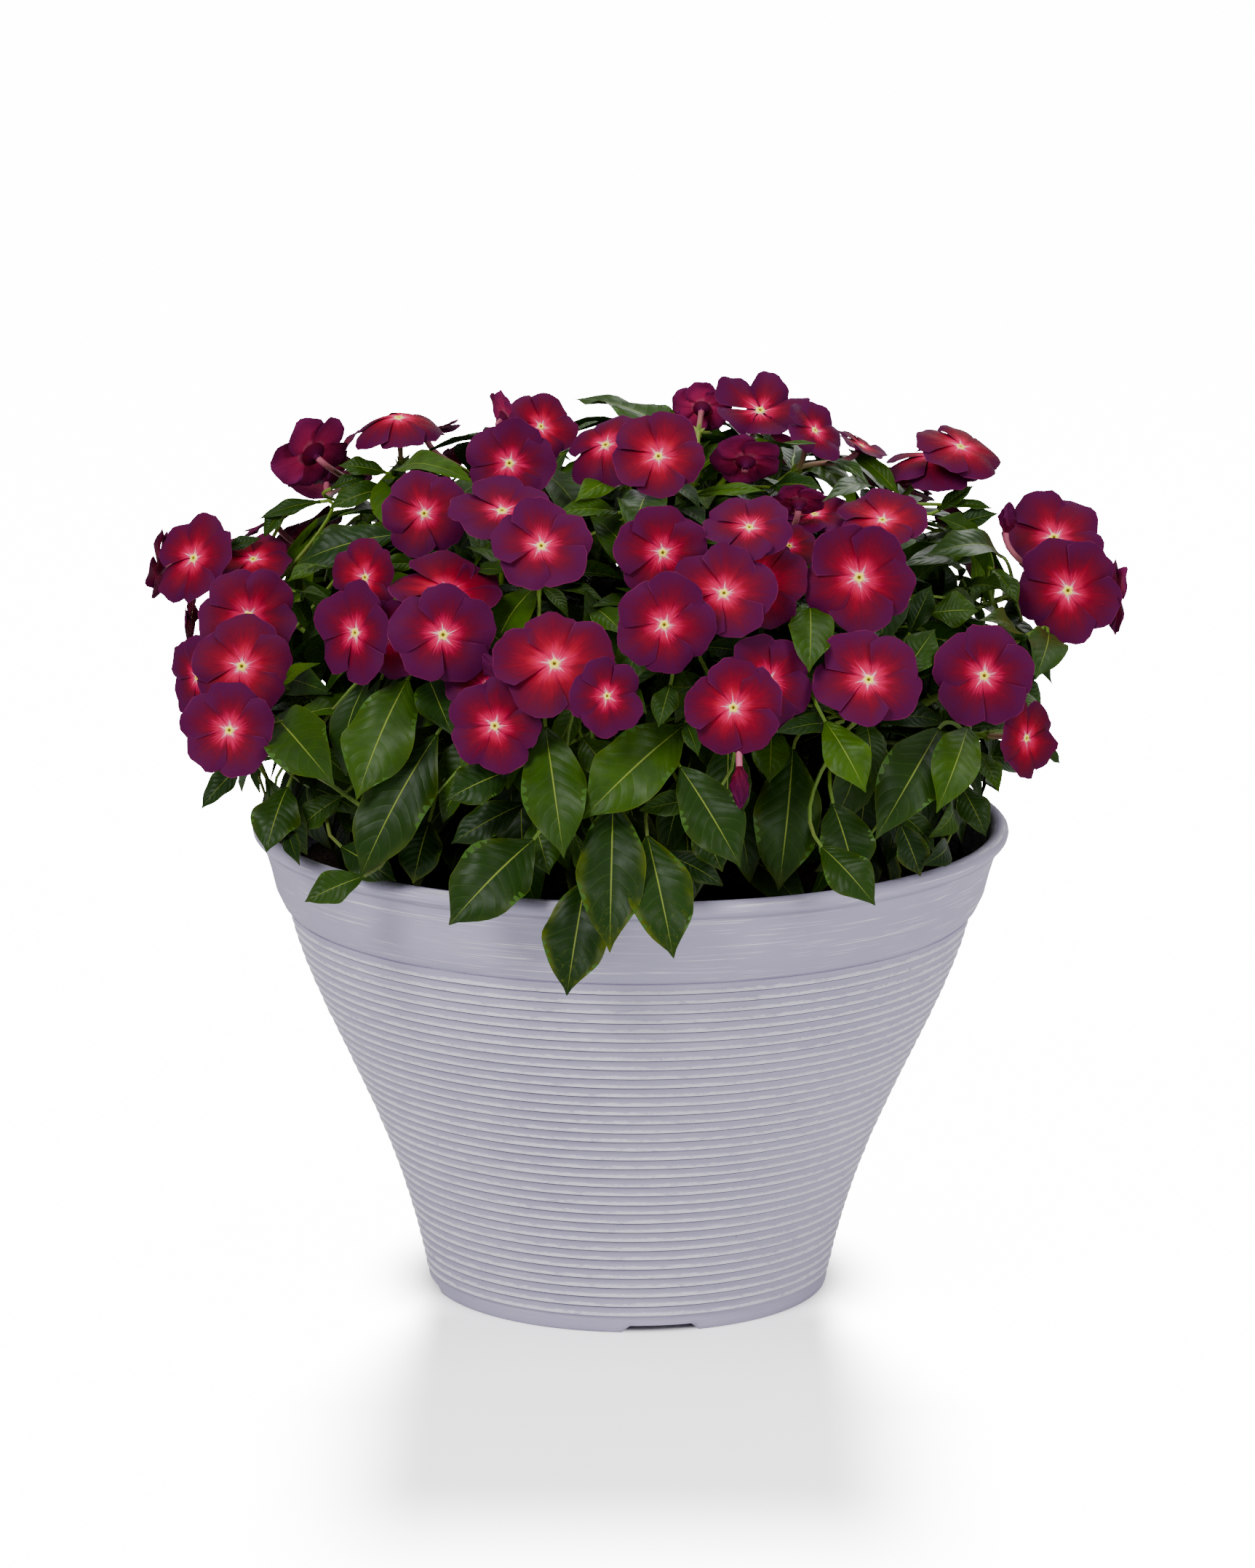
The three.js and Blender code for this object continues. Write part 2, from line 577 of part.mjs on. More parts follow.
function soilSolid() {
  const heights = [FLOOR_TOP + FIT, INNER_HEIGHTS[1], SOIL_HEIGHT];
  const rings = heights.map((height) => [innerRadius(height) - FIT, height]);
  for (const share of SOIL_RINGS) {
    rings.push([(innerRadius(SOIL_HEIGHT) - FIT) * share, SOIL_HEIGHT]);
  }
  const points = [];
  const faces = [];
  rings.forEach(([radius, height], ring) => {
    const lumpy = ring >= heights.length;
    for (let side = 0; side < POT_SIDES; side += 1) {
      const angle = (side / POT_SIDES) * Math.PI * 2;
      const lump = lumpy ? spread(ring * POT_SIDES + side, 3, SOIL_ROUGHNESS) : 0;
      points.push(new THREE.Vector3(Math.cos(angle) * radius, Math.sin(angle) * radius, height + lump));
    }
  });
  for (let ring = 0; ring < rings.length - 1; ring += 1) {
    for (let side = 0; side < POT_SIDES; side += 1) {
      const here = ring * POT_SIDES + side;
      const next = ring * POT_SIDES + (side + 1) % POT_SIDES;
      faces.push([here, next, next + POT_SIDES], [here, next + POT_SIDES, here + POT_SIDES]);
    }
  }
  const bottom = points.length;
  points.push(new THREE.Vector3(0, 0, FLOOR_TOP + FIT), new THREE.Vector3(0, 0, SOIL_HEIGHT));
  const last = (rings.length - 1) * POT_SIDES;
  for (let side = 0; side < POT_SIDES; side += 1) {
    const next = (side + 1) % POT_SIDES;
    faces.push([bottom, next, side], [bottom + 1, last + side, last + next]);
  }
  let soil = facetSolid(points, faces);
  for (let stem = 0; stem < STEM_COUNT; stem += 1) {
    const root = stemRoot(stem);
    const floor = root.clone().setZ(SOIL_HEIGHT - STEM_ROOT_DEPTH - FIT);
    const above = root.clone().setZ(SOIL_HEIGHT + HOLE_RISE);
    const hole = loft([ringAt(floor, UP, HOLE_RADIUS, 6), ringAt(above, UP, HOLE_RADIUS, 6)]);
    soil = soil.subtract(hole);
  }
  return soil;
}

// Stems

function stemRoot(stem) {
  const radius = STEM_SPREAD * Math.sqrt((stem + STEM_FIRST) / STEM_COUNT);
  const angle = stem * GOLDEN_ANGLE + STEM_TURN;
  return new THREE.Vector3(Math.cos(angle) * radius, Math.sin(angle) * radius, SOIL_HEIGHT);
}

function stemCurve(stem) {
  const root = stemRoot(stem);
  const reach = Math.hypot(root.x, root.y) * STEM_FAN;
  const crown = new THREE.Vector3(root.x * STEM_FAN, root.y * STEM_FAN, CROWN_HEIGHT - reach * CROWN_SINK);
  const bend = new THREE.Vector3(root.x * STEM_BEND, root.y * STEM_BEND, (SOIL_HEIGHT + crown.z) / 2);
  return new THREE.QuadraticBezierCurve3(root.clone().setZ(SOIL_HEIGHT + STEM_COLLAR), bend, crown);
}

function stemSolid(stem, grow = 0) {
  const curve = stemCurve(stem);
  const root = stemRoot(stem);
  const rings = [ringAt(root.clone().setZ(SOIL_HEIGHT - STEM_ROOT_DEPTH), UP, STEM_ROOT_RADIUS + grow, 4)];
  for (const share of TRUNK_STATIONS) {
    const radius = THREE.MathUtils.lerp(STEM_ROOT_RADIUS, STEM_TOP_RADIUS, share) + grow;
    rings.push(ringAt(curve.getPoint(share), share === 0 ? UP : curve.getTangent(share), radius, 4));
  }
  return loft(rings);
}

// Blooms

function facing(yaw, pitch) {
  const turn = THREE.MathUtils.degToRad(yaw);
  const rise = THREE.MathUtils.degToRad(pitch);
  return new THREE.Vector3(Math.cos(rise) * Math.sin(turn), -Math.cos(rise) * Math.cos(turn), Math.sin(rise));
}

// One body of five lobes that overlap like a pinwheel, thickest at the eye, with the tube behind it
function bloomSolid(bloom, centre, curve = null, grow = 0) {
  const normal = facing(bloom.yaw, bloom.pitch);
  const [across, over] = acrossOf(normal);
  const turn = draw(bloom.index, 1) * Math.PI * 2;
  const radius = bloom.radius + grow;
  const top = [];
  for (let lobe = 0; lobe < PETAL_COUNT; lobe += 1) {
    const lift = bloom.cup + spread(bloom.index * PETAL_COUNT + lobe, 2, LIFT_SPREAD);
    const size = 1 + spread(bloom.index * PETAL_COUNT + lobe, 4, SIZE_SPREAD);
    for (const corner of LOBE_OUTLINE) {
      const angle = turn + THREE.MathUtils.degToRad(corner.angle + (lobe * 360) / PETAL_COUNT);
      const reach = corner.reach * size;
      const point = centre.clone();
      point.addScaledVector(across, Math.cos(angle) * reach * radius);
      point.addScaledVector(over, Math.sin(angle) * reach * radius);
      point.addScaledVector(normal, (lift * reach * reach + corner.rise) * bloom.radius + grow);
      top.push(point);
    }
  }
  const under = top.map((point) => point.clone().addScaledVector(normal, -PETAL - 2 * grow));
  const eye = centre.clone().addScaledVector(normal, grow);
  const throat = centre.clone().addScaledVector(normal, -THROAT_DEPTH);
  const frame = { along: normal, across, over };
  const rings = [turnedRing(throat, frame, normal, circleCorners(TUBE_RADIUS + grow, 3))];
  if (curve) {
    for (const share of [0.5, 1]) {
      const direction = curve.getTangent(share).negate();
      const narrow = THREE.MathUtils.lerp(TUBE_RADIUS, TUBE_END_RADIUS, share) + grow;
      rings.push(turnedRing(curve.getPoint(share), frame, direction, circleCorners(narrow, 3)));
    }
  }
  return facetSolid([...top, ...under, eye, ...rings.flat()], bloomFaces(top.length, rings.length, turn));
}

// The under side meets the throat's three corners, each petal corner the one nearest to it.
function bloomFaces(count, ringCount, turn) {
  const faces = [];
  const eye = count * 2;
  const throat = eye + 1;
  const nearest = (at) => {
    const share = turn / (Math.PI * 2) + (at - 1.2) / count;
    return (Math.round(share * 3) + 3) % 3;
  };
  for (let at = 0; at < count; at += 1) {
    const next = (at + 1) % count;
    faces.push([eye, at, next]);
    faces.push([at, at + count, next + count], [at, next + count, next]);
    faces.push([throat + nearest(at), next + count, at + count]);
    if (nearest(at) !== nearest(next)) {
      faces.push([throat + nearest(at), throat + nearest(next), next + count]);
    }
  }
  for (let ring = 0; ring < ringCount - 1; ring += 1) {
    for (let side = 0; side < 3; side += 1) {
      const front = throat + ring * 3 + side;
      const frontNext = throat + ring * 3 + (side + 1) % 3;
      faces.push([front + 3, frontNext + 3, frontNext], [front + 3, frontNext, front]);
    }
  }
  const last = throat + (ringCount - 1) * 3;
  faces.push([last, last + 2, last + 1]);
  return faces;
}

// The tube leaves the eye straight back and runs into the stalk in line with it.
function tubeCurve(start, backward, end, direction) {
  const reach = start.distanceTo(end);
  const leave = start.clone().addScaledVector(backward, reach * TUBE_LEAVES);
  const arrive = end.clone().addScaledVector(direction, reach * TUBE_ARRIVES);
  return new THREE.CubicBezierCurve3(start, leave, arrive, end);
}

// Leaves

function leafWidthAt(share) {
  return Math.pow(Math.sin(Math.PI * Math.pow(share, 1.1)), 0.8);
}

function leafSpine(leaf, share) {
  const point = leaf.base.clone().lerp(leaf.tip, share);
  const chord = leaf.base.distanceTo(leaf.tip);
  return point.addScaledVector(leaf.face, leaf.arch * chord * 4 * share * (1 - share));
}

// The leaf's stalk bends from its joint on the wood into the line of the blade.
function leafStalkCurve(leaf) {
  const reach = leaf.joint.distanceTo(leaf.base);
  const bend = leaf.base.clone().addScaledVector(leaf.along, -reach * LEAF_STALK_BEND);
  return new THREE.QuadraticBezierCurve3(leaf.joint, bend, leaf.base);
}

// One body: a three-sided stalk that widens into a blade folded along its midrib and arched to the tip
function leafSolid(leaf, grow = 0) {
  const across = new THREE.Vector3().crossVectors(leaf.along, leaf.face).normalize();
  const frame = { along: leaf.along, across, over: leaf.face };
  const radius = LEAF_STALK_RADIUS + grow;
  const corners = [[-radius, grow], [radius, grow], [0, -radius * LEAF_STALK_KEEL - grow]];
  const rings = [];
  if (leaf.joint) {
    const curve = leafStalkCurve(leaf);
    const shares = leaf.joint.distanceTo(leaf.base) > LONG_STALK ? [0, 0.5] : [0];
    for (const share of shares) {
      rings.push(turnedRing(curve.getPoint(share), frame, curve.getTangent(share), corners));
    }
  }
  rings.push(turnedRing(leaf.base, frame, leaf.along, corners));
  const length = leaf.base.distanceTo(leaf.tip);
  const shares = length > LARGE_LEAF ? LARGE_LEAF_ROWS : SMALL_LEAF_ROWS;
  const top = [];
  for (const share of shares) {
    const half = leaf.width * 0.5 * leafWidthAt(share) + grow;
    const spine = leafSpine(leaf, share);
    for (const hand of [-1, 0, 1]) {
      const point = spine.clone().addScaledVector(across, hand * half);
      top.push(point.addScaledVector(leaf.face, Math.abs(hand) * half * LEAF_FOLD));
    }
  }
  top.push(leafSpine(leaf, 1).addScaledVector(leaf.along, grow));
  const under = top.map((point) => point.clone().addScaledVector(leaf.face, -BLADE - grow));
  const raised = top.map((point) => point.clone().addScaledVector(leaf.face, grow));
  return facetSolid([...rings.flat(), ...raised, ...under], leafFaces(rings.length, shares.length));
}

function leafFaces(ringCount, rows) {
  const faces = [[0, 2, 1]];
  for (let ring = 0; ring < ringCount - 1; ring += 1) {
    for (let side = 0; side < 3; side += 1) {
      const here = ring * 3 + side;
      const next = ring * 3 + (side + 1) % 3;
      faces.push([here, next, next + 3], [here, next + 3, here + 3]);
    }
  }
  const [left, right, below] = [0, 1, 2].map((corner) => (ringCount - 1) * 3 + corner);
  const top = ringCount * 3;
  const under = top + rows * 3 + 1;
  faces.push([left, right, top + 1], [right, top + 2, top + 1], [left, top + 1, top]);
  faces.push([right, below, under + 2], [right, under + 2, top + 2]);
  faces.push([below, left, top], [below, top, under]);
  faces.push([below, under, under + 1], [below, under + 1, under + 2]);
  for (let row = 0; row < rows - 1; row += 1) {
    for (let column = 0; column < 2; column += 1) {
      const a = top + row * 3 + column;
      const b = under + row * 3 + column;
      faces.push([a, a + 1, a + 4], [a, a + 4, a + 3], [b, b + 4, b + 1], [b, b + 3, b + 4]);
    }
    const [a, b] = [top + row * 3, under + row * 3];
    faces.push([b, a, a + 3], [b, a + 3, b + 3], [a + 2, b + 2, b + 5], [a + 2, b + 5, a + 5]);
  }
  const [a, b] = [top + (rows - 1) * 3, under + (rows - 1) * 3];
  const [tip, tipUnder] = [top + rows * 3, under + rows * 3];
  faces.push([a, a + 1, tip], [a + 1, a + 2, tip], [b + 1, b, tipUnder], [b + 2, b + 1, tipUnder]);
  faces.push([a + 2, b + 2, tipUnder], [a + 2, tipUnder, tip], [b, a, tip], [b, tip, tipUnder]);
  return faces;
}

// A green bud, slim at both ends
function budSolid(base, tip, grow = 0) {
  const rings = [];
  const direction = tip.clone().sub(base).normalize();
  for (const [share, radius] of BUD_OUTLINE) {
    rings.push(ringAt(base.clone().lerp(tip, share), direction, radius + grow, 3));
  }
  return loft(rings);
}

// Placing: the blooms come first, each sliding along its sight line until it is clear of the others.

function slideFrom(column, row, shell, distance) {
  return onCrown(column, row, shell).addScaledVector(sightDirection(column, row), distance);
}

function placeBloom(bloom, index) {
  bloom.index = index;
  bloom.cup = bloom.cup ?? USUAL_CUP;
  for (const slide of SLIDES) {
    const distance = (bloom.back ?? 0) + slide;
    const centre = bloom.start
      ? bloom.start.clone().addScaledVector(facing(bloom.yaw, bloom.pitch), -slide)
      : slideFrom(...bloom.eye, 1, distance);
    if (isClear(bloomSolid(bloom, centre, null, CLEARANCE))) {
      bloom.centre = centre;
      keep(bloomSolid(bloom, centre), bloom.bunch);
      return;
    }
  }
  throw new Error(`bloom ${index} finds no room`);
}

// The blooms of the side that isn't seen stand in rows on the back of the crown.
function backBlooms() {
  const blooms = [];
  BACK_ROWS.forEach((row, rowAt) => {
    for (let at = 0; at < row.count; at += 1) {
      const index = BACK_INDEX + rowAt * 10 + at;
      const around = THREE.MathUtils.degToRad(row.from + (at * (row.to - row.from)) / (row.count - 1));
      const rise = THREE.MathUtils.degToRad(row.rise + spread(index, 5, BACK_RISE_SPREAD));
      const level = Math.cos(rise);
      const direction = new THREE.Vector3(Math.cos(around) * level, Math.sin(around) * level, Math.sin(rise));
      const start = direction.clone().multiply(DOME_RADII).add(DOME_CENTRE);
      const yaw = THREE.MathUtils.radToDeg(around) + 90 + spread(index, 6, BACK_YAW_SPREAD);
      const pitch = row.pitch + spread(index, 7, BACK_PITCH_SPREAD);
      const bunch = `back_${row.name}_${at + 1}`;
      blooms.push({ bunch, start, yaw, pitch, radius: BACK_RADIUS + spread(index, 8, BACK_RADIUS_SPREAD) });
      if (at % 2 === 1) {
        const beside = new THREE.Vector3(-Math.sin(around), Math.cos(around), BESIDE.lift);
        const second = start.clone().addScaledVector(beside, BESIDE.distance);
        second.addScaledVector(direction, BESIDE.sink);
        const turned = { yaw: yaw + BESIDE.yaw, pitch: pitch + BESIDE.pitch };
        blooms.push({ bunch, start: second, radius: BESIDE.radius, ...turned });
      }
    }
  });
  return blooms;
}

function bunchesOf(blooms) {
  const bunches = new Map();
  for (const bloom of blooms) {
    const name = bloom.bunch;
    if (!bunches.has(name)) {
      bunches.set(name, { name, index: bunches.size, blooms: [], wilted: [], pieces: [] });
    }
    bunches.get(name).blooms.push(bloom);
  }
  return [...bunches.values()];
}

// Where the tubes of a bunch come together on its flower stalk
function stalkEnd(bunch, attempt) {
  const single = bunch.blooms.length === 1;
  const end = new THREE.Vector3();
  for (const bloom of bunch.blooms) {
    const depth = single ? TUBE_LENGTH : TUBE_LENGTH * BUNCH_DEPTH;
    end.addScaledVector(bloom.centre, 1 / bunch.blooms.length);
    end.addScaledVector(facing(bloom.yaw, bloom.pitch), -depth / bunch.blooms.length);
  }
  if (!single) {
    const inward = new THREE.Vector3(0, 0, end.z - BUNCH_SINK).sub(end).normalize();
    end.addScaledVector(inward, TUBE_LENGTH * BUNCH_DEPTH);
  }
  const salt = bunch.index * 20 + attempt;
  const step = attempt * TUBE_WANDER;
  return end.add(new THREE.Vector3(spread(salt, 9, step), spread(salt, 10, step), spread(salt, 11, step)));
}

function stalkDirection(bunch, end) {
  const direction = new THREE.Vector3();
  for (const bloom of bunch.blooms) {
    direction.add(bloom.centre.clone().sub(end));
  }
  return direction.normalize();
}

function placeTubes(bunch) {
  for (let attempt = 0; attempt < TUBE_TRIES; attempt += 1) {
    const end = stalkEnd(bunch, attempt);
    const direction = stalkDirection(bunch, end);
    const curves = bunch.blooms.map((bloom) => {
      const backward = facing(bloom.yaw, bloom.pitch).negate();
      const start = bloom.centre.clone().addScaledVector(backward, THROAT_DEPTH);
      return tubeCurve(start, backward, end, direction);
    });
    for (const [top, low] of bunch.wilted.map((wilt) => wiltedEnds(wilt))) {
      const start = top.clone().lerp(low, WILTED_TUBE_START);
      curves.push(tubeCurve(start, top.clone().sub(low).normalize(), end, direction));
    }
    const clear = curves.every((curve) => {
      return isClear(rod(curve, TUBE_RADIUS, TUBE_END_RADIUS, 3, 2, CLEARANCE), [bunch.name]);
    });
    if (clear) {
      bunch.end = end;
      bunch.direction = direction;
      const tubes = curves.map((curve) => rod(curve, TUBE_RADIUS, TUBE_END_RADIUS, 3, 2));
      tubes.forEach((tube) => keep(tube, bunch.name));
      bunch.pieces.push(...tubes.slice(bunch.blooms.length));
      bunch.blooms.forEach((bloom, at) => bunch.pieces.push(bloomSolid(bloom, bloom.centre, curves[at])));
      return;
    }
  }
  throw new Error(`bunch ${bunch.name} finds no room for its tubes`);
}

// Spent or furled blooms hang on the same stalk as a narrow folded blade.
function wiltedEnds(wilt) {
  return [wilt.top, wilt.low].map(([column, row]) => slideFrom(column, row, WILTED_SHELL, wilt.slide));
}

function placeWilted(bunch) {
  for (const wilt of WILTED.filter((one) => one.bunch === bunch.name)) {
    for (const slide of SLIDES) {
      wilt.slide = slide;
      const [base, tip] = wiltedEnds(wilt);
      const face = sightDirection(...wilt.top).negate();
      const along = tip.clone().sub(base).normalize();
      face.addScaledVector(along, -face.dot(along)).normalize();
      const blade = { base, tip, along, face, width: wilt.width / PIXELS_PER_MM };
      blade.arch = WILTED_ARCH;
      if (isClear(leafSolid(blade, CLEARANCE))) {
        keep(leafSolid(blade), bunch.name);
        bunch.pieces.push(leafSolid(blade));
        bunch.wilted.push(wilt);
        break;
      }
    }
  }
}

// Stalks run from the nearest stem to the stalk end of each bunch.

const skeleton = [];

function stalkCurve(bunch, stem, gap, attempt) {
  const end = bunch.end.clone().addScaledVector(bunch.direction, -gap);
  const trunk = stemCurve(stem);
  const crown = trunk.getPoint(1);
  const fork = FORK_HIGHEST - (crown.z + FORK_DROP - end.z) / FORK_SPAN;
  const start = trunk.getPoint(THREE.MathUtils.clamp(fork, FORK_LOWEST, FORK_HIGHEST));
  const length = start.distanceTo(end);
  const salt = bunch.index * 20 + attempt;
  const wander = attempt * STALK_WANDER;
  const bend = end.clone().addScaledVector(bunch.direction, -length * STALK_BEND);
  bend.add(new THREE.Vector3(spread(salt, 12, wander), spread(salt, 13, wander), spread(salt, 14, wander)));
  return new THREE.QuadraticBezierCurve3(start, bend, end);
}

function placeStalk(bunch) {
  const order = [...Array(STEM_COUNT).keys()];
  const reach = order.map((stem) => stemCurve(stem).getPoint(1).distanceTo(bunch.end));
  order.sort((a, b) => reach[a] - reach[b]);
  for (const gap of STALK_GAPS) {
    for (const stem of order.slice(0, STALK_STEMS)) {
      for (let attempt = 0; attempt < STALK_TRIES; attempt += 1) {
        const curve = stalkCurve(bunch, stem, gap, attempt);
        const owner = `stalk_${bunch.name}`;
        if (isClear(rod(curve, TWIG_RADIUS, STALK_RADIUS, 3, STALK_SEGMENTS, CLEARANCE), [`wood_${stem}`])) {
          const solid = rod(curve, TWIG_RADIUS, STALK_RADIUS, 3, STALK_SEGMENTS);
          keep(solid, owner, `wood_${stem}`);
          parts[stem].push(solid);
          skeleton.push({ curve, owner, stem, bunch, stations: STALK_STATIONS, shares: PAIR_SHARES });
          return;
        }
      }
    }
  }
  throw new Error(`bunch ${bunch.name} finds no way for its stalk`);
}

// Leaves that are seen: base and tip slide along their sight lines, and a leaf stalk joins the skeleton.

function seenLeaf(reading, slide) {
  const base = slideFrom(...reading.base, reading.inner ?? INNER_SHELL, slide);
  const tip = slideFrom(...reading.tip, reading.outer ?? OUTER_SHELL, slide);
  const along = tip.clone().sub(base).normalize();
  const face = sightDirection(...reading.base).multiplyScalar(-LEAF_FACES.viewer);
  face.addScaledVector(UP, LEAF_FACES.up);
  face.addScaledVector(base.clone().sub(DOME_CENTRE).normalize(), LEAF_FACES.outward);
  face.addScaledVector(along, -face.dot(along)).normalize();
  return { base, tip, along, face, width: reading.width / PIXELS_PER_MM, arch: LEAF_ARCH };
}

// A point on the straight pieces of which the branch is made
function onBranch(branch, share) {
  let at = 1;
  while (branch.stations[at] < share) {
    at += 1;
  }
  const from = branch.curve.getPoint(branch.stations[at - 1]);
  const to = branch.curve.getPoint(branch.stations[at]);
  return from.lerp(to, (share - branch.stations[at - 1]) / (branch.stations[at] - branch.stations[at - 1]));
}

function joints(point) {
  const found = [];
  for (const branch of skeleton) {
    let best = null;
    for (let step = 1; step < JOINT_STEPS; step += 1) {
      const at = onBranch(branch, step / JOINT_STEPS);
      const distance = at.distanceTo(point);
      if (!best || distance < best.distance) {
        best = { at, distance, branch };
      }
    }
    found.push(best);
  }
  return found.sort((a, b) => a.distance - b.distance).slice(0, JOINT_TRIES);
}

function placeSeenLeaf(reading, index) {
  for (const slide of SLIDES) {
    const leaf = seenLeaf(reading, slide);
    if (!isClear(leafSolid(leaf, CLEARANCE))) {
      continue;
    }
    for (const joint of joints(leaf.base)) {
      leaf.joint = joint.at;
      if (isClear(leafSolid(leaf, CLEARANCE), [joint.branch.owner, `wood_${joint.branch.stem}`])) {
        addLeaf(leaf, joint.branch.stem, index);
        return;
      }
    }
  }
  throw new Error(`leaf ${index} finds no room`);
}

function addLeaf(leaf, stem, index) {
  const solid = leafSolid(leaf);
  keep(solid, `leaf_${index}`);
  parts[stem].push(solid);
}

// Leaves that aren't seen stand in pairs on the stalks, each pair across the one before.
function pairLeaf(branch, share, hand, turn, scale, index) {
  const joint = onBranch(branch, share);
  const tangent = branch.curve.getTangent(share);
  const [level, other] = acrossOf(tangent);
  const along = level.multiplyScalar(Math.cos(turn) * hand).addScaledVector(other, Math.sin(turn) * hand);
  along.addScaledVector(tangent, PAIR_LEAN.forward);
  along.addScaledVector(joint.clone().sub(DOME_CENTRE).normalize(), PAIR_LEAN.outward);
  along.addScaledVector(UP, -PAIR_LEAN.down);
  along.normalize();
  const length = (PAIR_LENGTH + spread(index, 15, PAIR_LENGTH_SPREAD)) * scale;
  const face = UP.clone().addScaledVector(along, -along.z).normalize();
  const base = joint.clone().addScaledVector(along, PAIR_STALK);
  const tip = base.clone().addScaledVector(along, length);
  return { joint, base, tip, along, face, width: length * PAIR_WIDTH_SHARE, arch: LEAF_ARCH };
}

function leavesSkyOpen(leaf) {
  return SKY_SHARES.every((share) => {
    const [column, row] = seenAt(leaf.base.clone().lerp(leaf.tip, share));
    return OPEN_SKY.every(([x, y, radius]) => Math.hypot(column - x, row - y) > radius);
  });
}

// A stem's own leaves are placed as those of a stalk.
function trunkBranch(stem) {
  const owner = `stem_${stem}`;
  return { curve: stemCurve(stem), owner, stem, stations: TRUNK_STATIONS, shares: TRUNK_SHARES };
}

function placePairs(branch, index) {
  if (branch.curve.getPoint(1).y < PAIRS_BEHIND) {
    return;
  }
  branch.shares.forEach((share, pair) => {
    for (const hand of [-1, 1]) {
      const id = PAIR_INDEX + index * 10 + pair * 2 + (hand > 0 ? 1 : 0);
      const leaves = PAIR_TURNS.map((turn, at) => {
        return pairLeaf(branch, share, hand, turn + (pair * Math.PI) / 2, PAIR_SCALES[at], id);
      });
      const found = leaves.find((leaf) => {
        const inCrown = onShell(leaf.tip) < PAIR_SHELL && leavesSkyOpen(leaf);
        return inCrown && isClear(leafSolid(leaf, CLEARANCE), [branch.owner]);
      });
      if (found) {
        addLeaf(found, branch.stem, id);
      }
    }
  });
}

function onShell(point) {
  return point.clone().sub(DOME_CENTRE).divide(DOME_RADII).length();
}

function placeBud(branch, index) {
  const base = onBranch(branch, BUD_SHARE);
  const [level] = acrossOf(branch.bunch.direction);
  for (const hand of [-1, 1]) {
    const tip = base.clone().addScaledVector(branch.bunch.direction, BUD_LENGTH);
    tip.addScaledVector(level, hand * BUD_LENGTH * BUD_LEAN);
    if (index % BUD_EVERY === 0 && isClear(budSolid(base, tip, CLEARANCE), [branch.owner])) {
      const bud = budSolid(base, tip);
      keep(bud, `bud_${index}`);
      parts[branch.stem].push(bud);
      return;
    }
  }
}

// The whole plant

const plant = new THREE.Group();

function addMesh(name, solid, material) {
  const count = solid.decompose().length;
  if (count !== 1) {
    throw new Error(`${name} falls into ${count} bodies`);
  }
  const mesh = new THREE.Mesh(toGeometry(solid), material);
  mesh.name = name;
  plant.add(mesh);
}

const potMaterial = new THREE.MeshStandardMaterial({ color: 0xa5a2b2, roughness: 0.62, metalness: 0 });
const soilMaterial = new THREE.MeshStandardMaterial({ color: 0x241a14, roughness: 0.95, metalness: 0 });
const leafMaterial = new THREE.MeshStandardMaterial({ color: 0x31591c, roughness: 0.42, metalness: 0 });
const petalMaterial = new THREE.MeshStandardMaterial({ color: 0x8e1034, roughness: 0.68, metalness: 0 });

const pot = potSolid();
const soil = soilSolid();
keep(pot, 'pot');
keep(soil, 'soil');
addMesh('pot', pot, potMaterial);
addMesh('soil', soil, soilMaterial);

const blooms = [...BLOOMS, ...backBlooms()];
blooms.forEach(placeBloom);
const bunches = bunchesOf(blooms);
bunches.forEach(placeWilted);
bunches.forEach(placeTubes);

const parts = [];
for (let stem = 0; stem < STEM_COUNT; stem += 1) {
  const solid = stemSolid(stem);
  keep(solid, `stem_${stem}`, `wood_${stem}`);
  parts.push([solid]);
}
bunches.forEach(placeStalk);
LEAVES.forEach(placeSeenLeaf);
[...skeleton, ...parts.map((_, stem) => trunkBranch(stem))].forEach(placePairs);
skeleton.forEach(placeBud);

bunches.forEach((bunch) => addMesh(`bloom_${bunch.name}`, fuse(bunch.pieces), petalMaterial));
parts.forEach((solids, stem) => addMesh(`leafy_stem_${stem + 1}`, fuse(solids), leafMaterial));

export default plant;
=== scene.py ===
"""A potted madagascar periwinkle: ribbed planter, soil, leafy stems and velvety dark red blooms.

Lengths are millimetres until a mesh is made, which is in metres. The front faces -Y. Blooms, leaves and
stalks stand where the frame has them: each is tried at the places that its rule of growth allows, and the
one whose corners the frame's solids hold is taken.
"""

import math

import bpy
import numpy as np
from mathutils import Matrix, Vector, noise


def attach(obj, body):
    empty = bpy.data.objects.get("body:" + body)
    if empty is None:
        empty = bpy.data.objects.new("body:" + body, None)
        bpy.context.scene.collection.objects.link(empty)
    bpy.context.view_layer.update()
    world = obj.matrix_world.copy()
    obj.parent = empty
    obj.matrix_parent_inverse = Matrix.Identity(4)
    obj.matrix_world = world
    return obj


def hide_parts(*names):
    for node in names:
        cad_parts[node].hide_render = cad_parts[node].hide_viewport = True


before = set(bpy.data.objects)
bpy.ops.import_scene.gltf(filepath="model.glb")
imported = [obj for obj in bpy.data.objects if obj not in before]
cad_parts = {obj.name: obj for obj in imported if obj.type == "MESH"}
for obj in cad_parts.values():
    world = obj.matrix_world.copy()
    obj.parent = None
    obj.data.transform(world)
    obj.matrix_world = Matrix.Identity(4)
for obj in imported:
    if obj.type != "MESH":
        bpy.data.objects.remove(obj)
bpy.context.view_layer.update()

MM = 0.001

